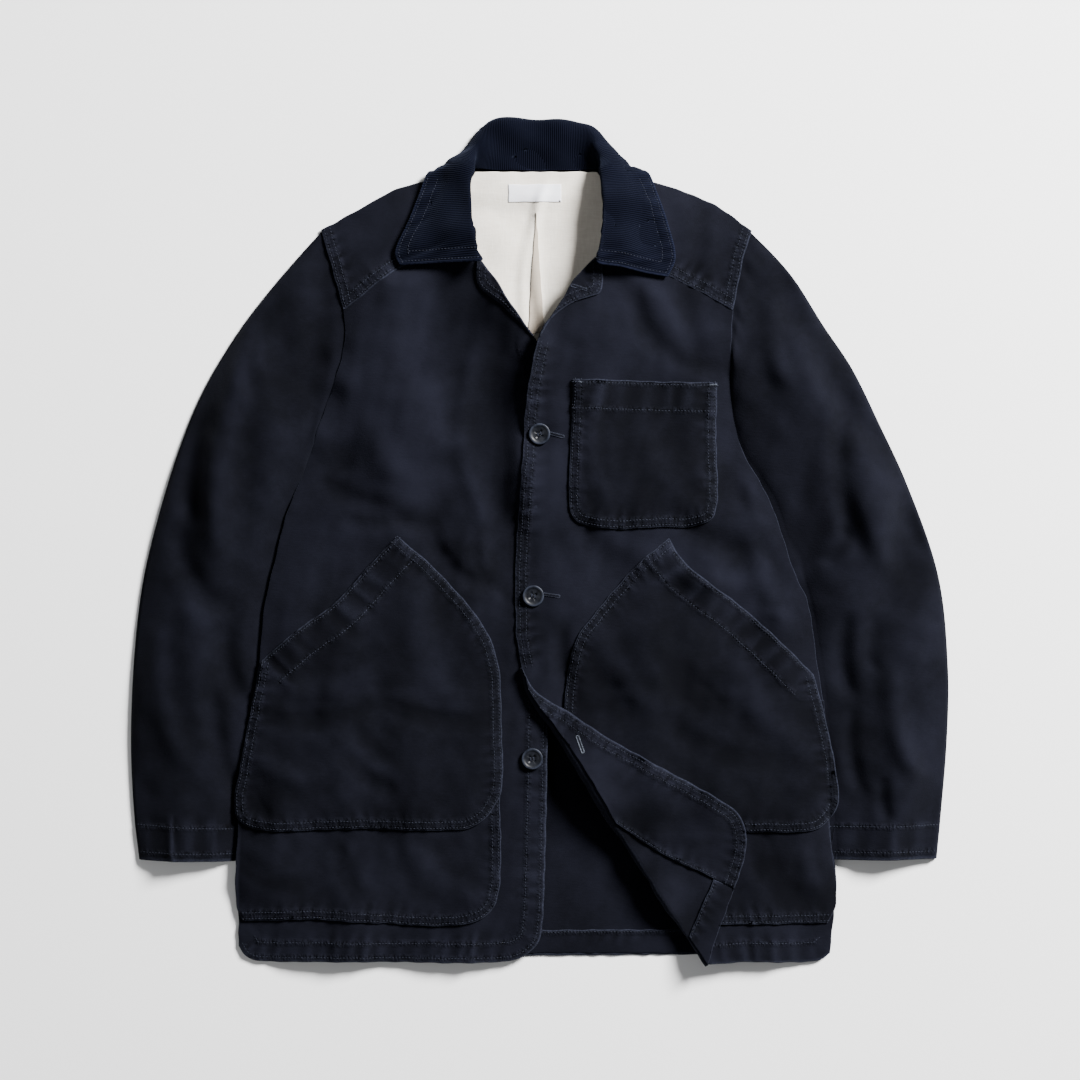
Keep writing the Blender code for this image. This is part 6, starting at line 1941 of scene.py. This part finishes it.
class JACKET_OT_stage(JacketPiece, bpy.types.Operator):
    """Lay out the pale floor, the soft light and the camera straight above"""

    bl_idname = "jacket.stage"
    bl_label = "Stage"

    def build(self, context):
        floor = make_object("floor", [(-6000, -6000, 0), (6000, -6000, 0), (6000, 6000, 0), (-6000, 6000, 0)],
                            [(0, 1, 2, 3)], pale_floor())
        world = bpy.data.worlds.new("Soft room")
        world.use_nodes = True
        background = world.node_tree.nodes["Background"]
        background.inputs["Color"].default_value = (0.96, 0.98, 1.0, 1.0)
        background.inputs["Strength"].default_value = ROOM_LIGHT
        context.scene.world = world
        for name, place, width, power in LIGHTS:
            light = bpy.data.lights.new(name, "AREA")
            light.shape, light.size, light.energy = "DISK", width, power
            lamp = linked(name, light)
            lamp.location = place
            lamp.rotation_euler = (-Vector(place)).to_track_quat("-Z", "Y").to_euler()
        camera = bpy.data.cameras.new("camera")
        camera.lens, camera.sensor_width = 85, 36
        context.scene.camera = linked("camera", camera)
        context.scene.camera.location = (*VIEW_CENTRE, context.scene.jacket_sizes.camera_height)


class JACKET_OT_body(JacketPiece, bpy.types.Operator):
    """Cut the back, the yoke and both fronts, with the left front's lower corner turned back"""

    bl_idname = "jacket.body"
    bl_label = "Back, Yoke and Fronts"

    def build(self, context):
        shell = ClothShell(back_map())
        shell.sheet("back")
        finish_sheet(shell.finished("back", washed_canvas()), "back")
        make_yoke()
        make_panel("front_right", washed_canvas())
        make_front_left()


class JACKET_OT_turned_corner(JacketPiece, bpy.types.Operator):
    """Add the facing and hem on the turned corner, and the back's hem inside it"""

    bl_idname = "jacket.turned_corner"
    bl_label = "Facing and Hems of the Open Corner"

    def build(self, context):
        for name in ("facing_left_corner", "hem_left_corner", "back_hem"):
            make_panel(name, washed_canvas())


class JACKET_OT_lapels(JacketPiece, bpy.types.Operator):
    """Turn out the two small lapels at the top of the opening"""

    bl_idname = "jacket.lapels"
    bl_label = "Lapels"

    def build(self, context):
        for side in ("right", "left"):
            make_panel(f"lapel_{side}", washed_canvas())


class JACKET_OT_pockets(JacketPiece, bpy.types.Operator):
    """Sew on the chest pocket, the lower pockets and the slanted pockets over them"""

    bl_idname = "jacket.pockets"
    bl_label = "Pockets"

    def build(self, context):
        for name in ("chest_pocket", "lower_pocket_right", "lower_pocket_left", "waist_pocket_right",
                     "waist_pocket_left"):
            make_panel(name, washed_canvas())
        for name, ends in BAR_TACKS.items():
            make_bar_tack(name, *ends)


class JACKET_OT_sleeves(JacketPiece, bpy.types.Operator):
    """Set in both sleeves, each one flattened tube with a stitched cuff"""

    bl_idname = "jacket.sleeves"
    bl_label = "Sleeves"

    def build(self, context):
        for side, rings in SLEEVES.items():
            make_sleeve(side, rings)


class JACKET_OT_collar(JacketPiece, bpy.types.Operator):
    """Roll the corduroy collar round the neck"""

    bl_idname = "jacket.collar"
    bl_label = "Collar"

    def build(self, context):
        make_collar()


class JACKET_OT_neck(JacketPiece, bpy.types.Operator):
    """Line the back of the neck, with its box pleat and the plain label"""

    bl_idname = "jacket.neck"
    bl_label = "Neck Lining, Pleat and Label"

    def build(self, context):
        make_panel("lining", slub_lining(), stitched=False)
        make_panel("lining_pleat", slub_lining(pleat=True), stitched=False)
        make_panel("label", plain_label(), stitched=False)


class JACKET_OT_buttons(JacketPiece, bpy.types.Operator):
    """Sew on the buttons and work the buttonholes"""

    bl_idname = "jacket.buttons"
    bl_label = "Buttons and Buttonholes"

    def build(self, context):
        for number, place in enumerate(BUTTON_PLACES, start=1):
            make_button(number, place)
        for name, hole in BUTTONHOLES.items():
            make_buttonhole(name, *hole)


class JACKET_PT_pieces(bpy.types.Panel):
    """The jacket's pieces, sizes and colours"""

    bl_label = "Hunting Jacket"
    bl_idname = "JACKET_PT_pieces"
    bl_space_type = "VIEW_3D"
    bl_region_type = "UI"
    bl_category = "Jacket"

    def draw(self, context):
        for operator in OPERATORS:
            self.layout.operator(operator.bl_idname)
        for settings in (context.scene.jacket_sizes, context.scene.jacket_colours):
            for name in settings.__annotations__:
                self.layout.prop(settings, name)


OPERATORS = (JACKET_OT_stage, JACKET_OT_body, JACKET_OT_turned_corner, JACKET_OT_lapels, JACKET_OT_pockets,
             JACKET_OT_sleeves, JACKET_OT_collar, JACKET_OT_neck, JACKET_OT_buttons)
CLASSES = (JacketSizes, JacketColours, *OPERATORS, JACKET_PT_pieces)


def register():
    for cls in CLASSES:
        bpy.utils.register_class(cls)
    bpy.types.Scene.jacket_sizes = PointerProperty(type=JacketSizes)
    bpy.types.Scene.jacket_colours = PointerProperty(type=JacketColours)


def unregister():
    del bpy.types.Scene.jacket_sizes
    del bpy.types.Scene.jacket_colours
    for cls in reversed(CLASSES):
        bpy.utils.unregister_class(cls)


def main():
    register()
    bpy.ops.jacket.stage()
    bpy.ops.jacket.body()
    bpy.ops.jacket.turned_corner()
    bpy.ops.jacket.lapels()
    bpy.ops.jacket.pockets()
    bpy.ops.jacket.sleeves()
    bpy.ops.jacket.collar()
    bpy.ops.jacket.neck()
    bpy.ops.jacket.buttons()


if __name__ == "__main__":
    main()
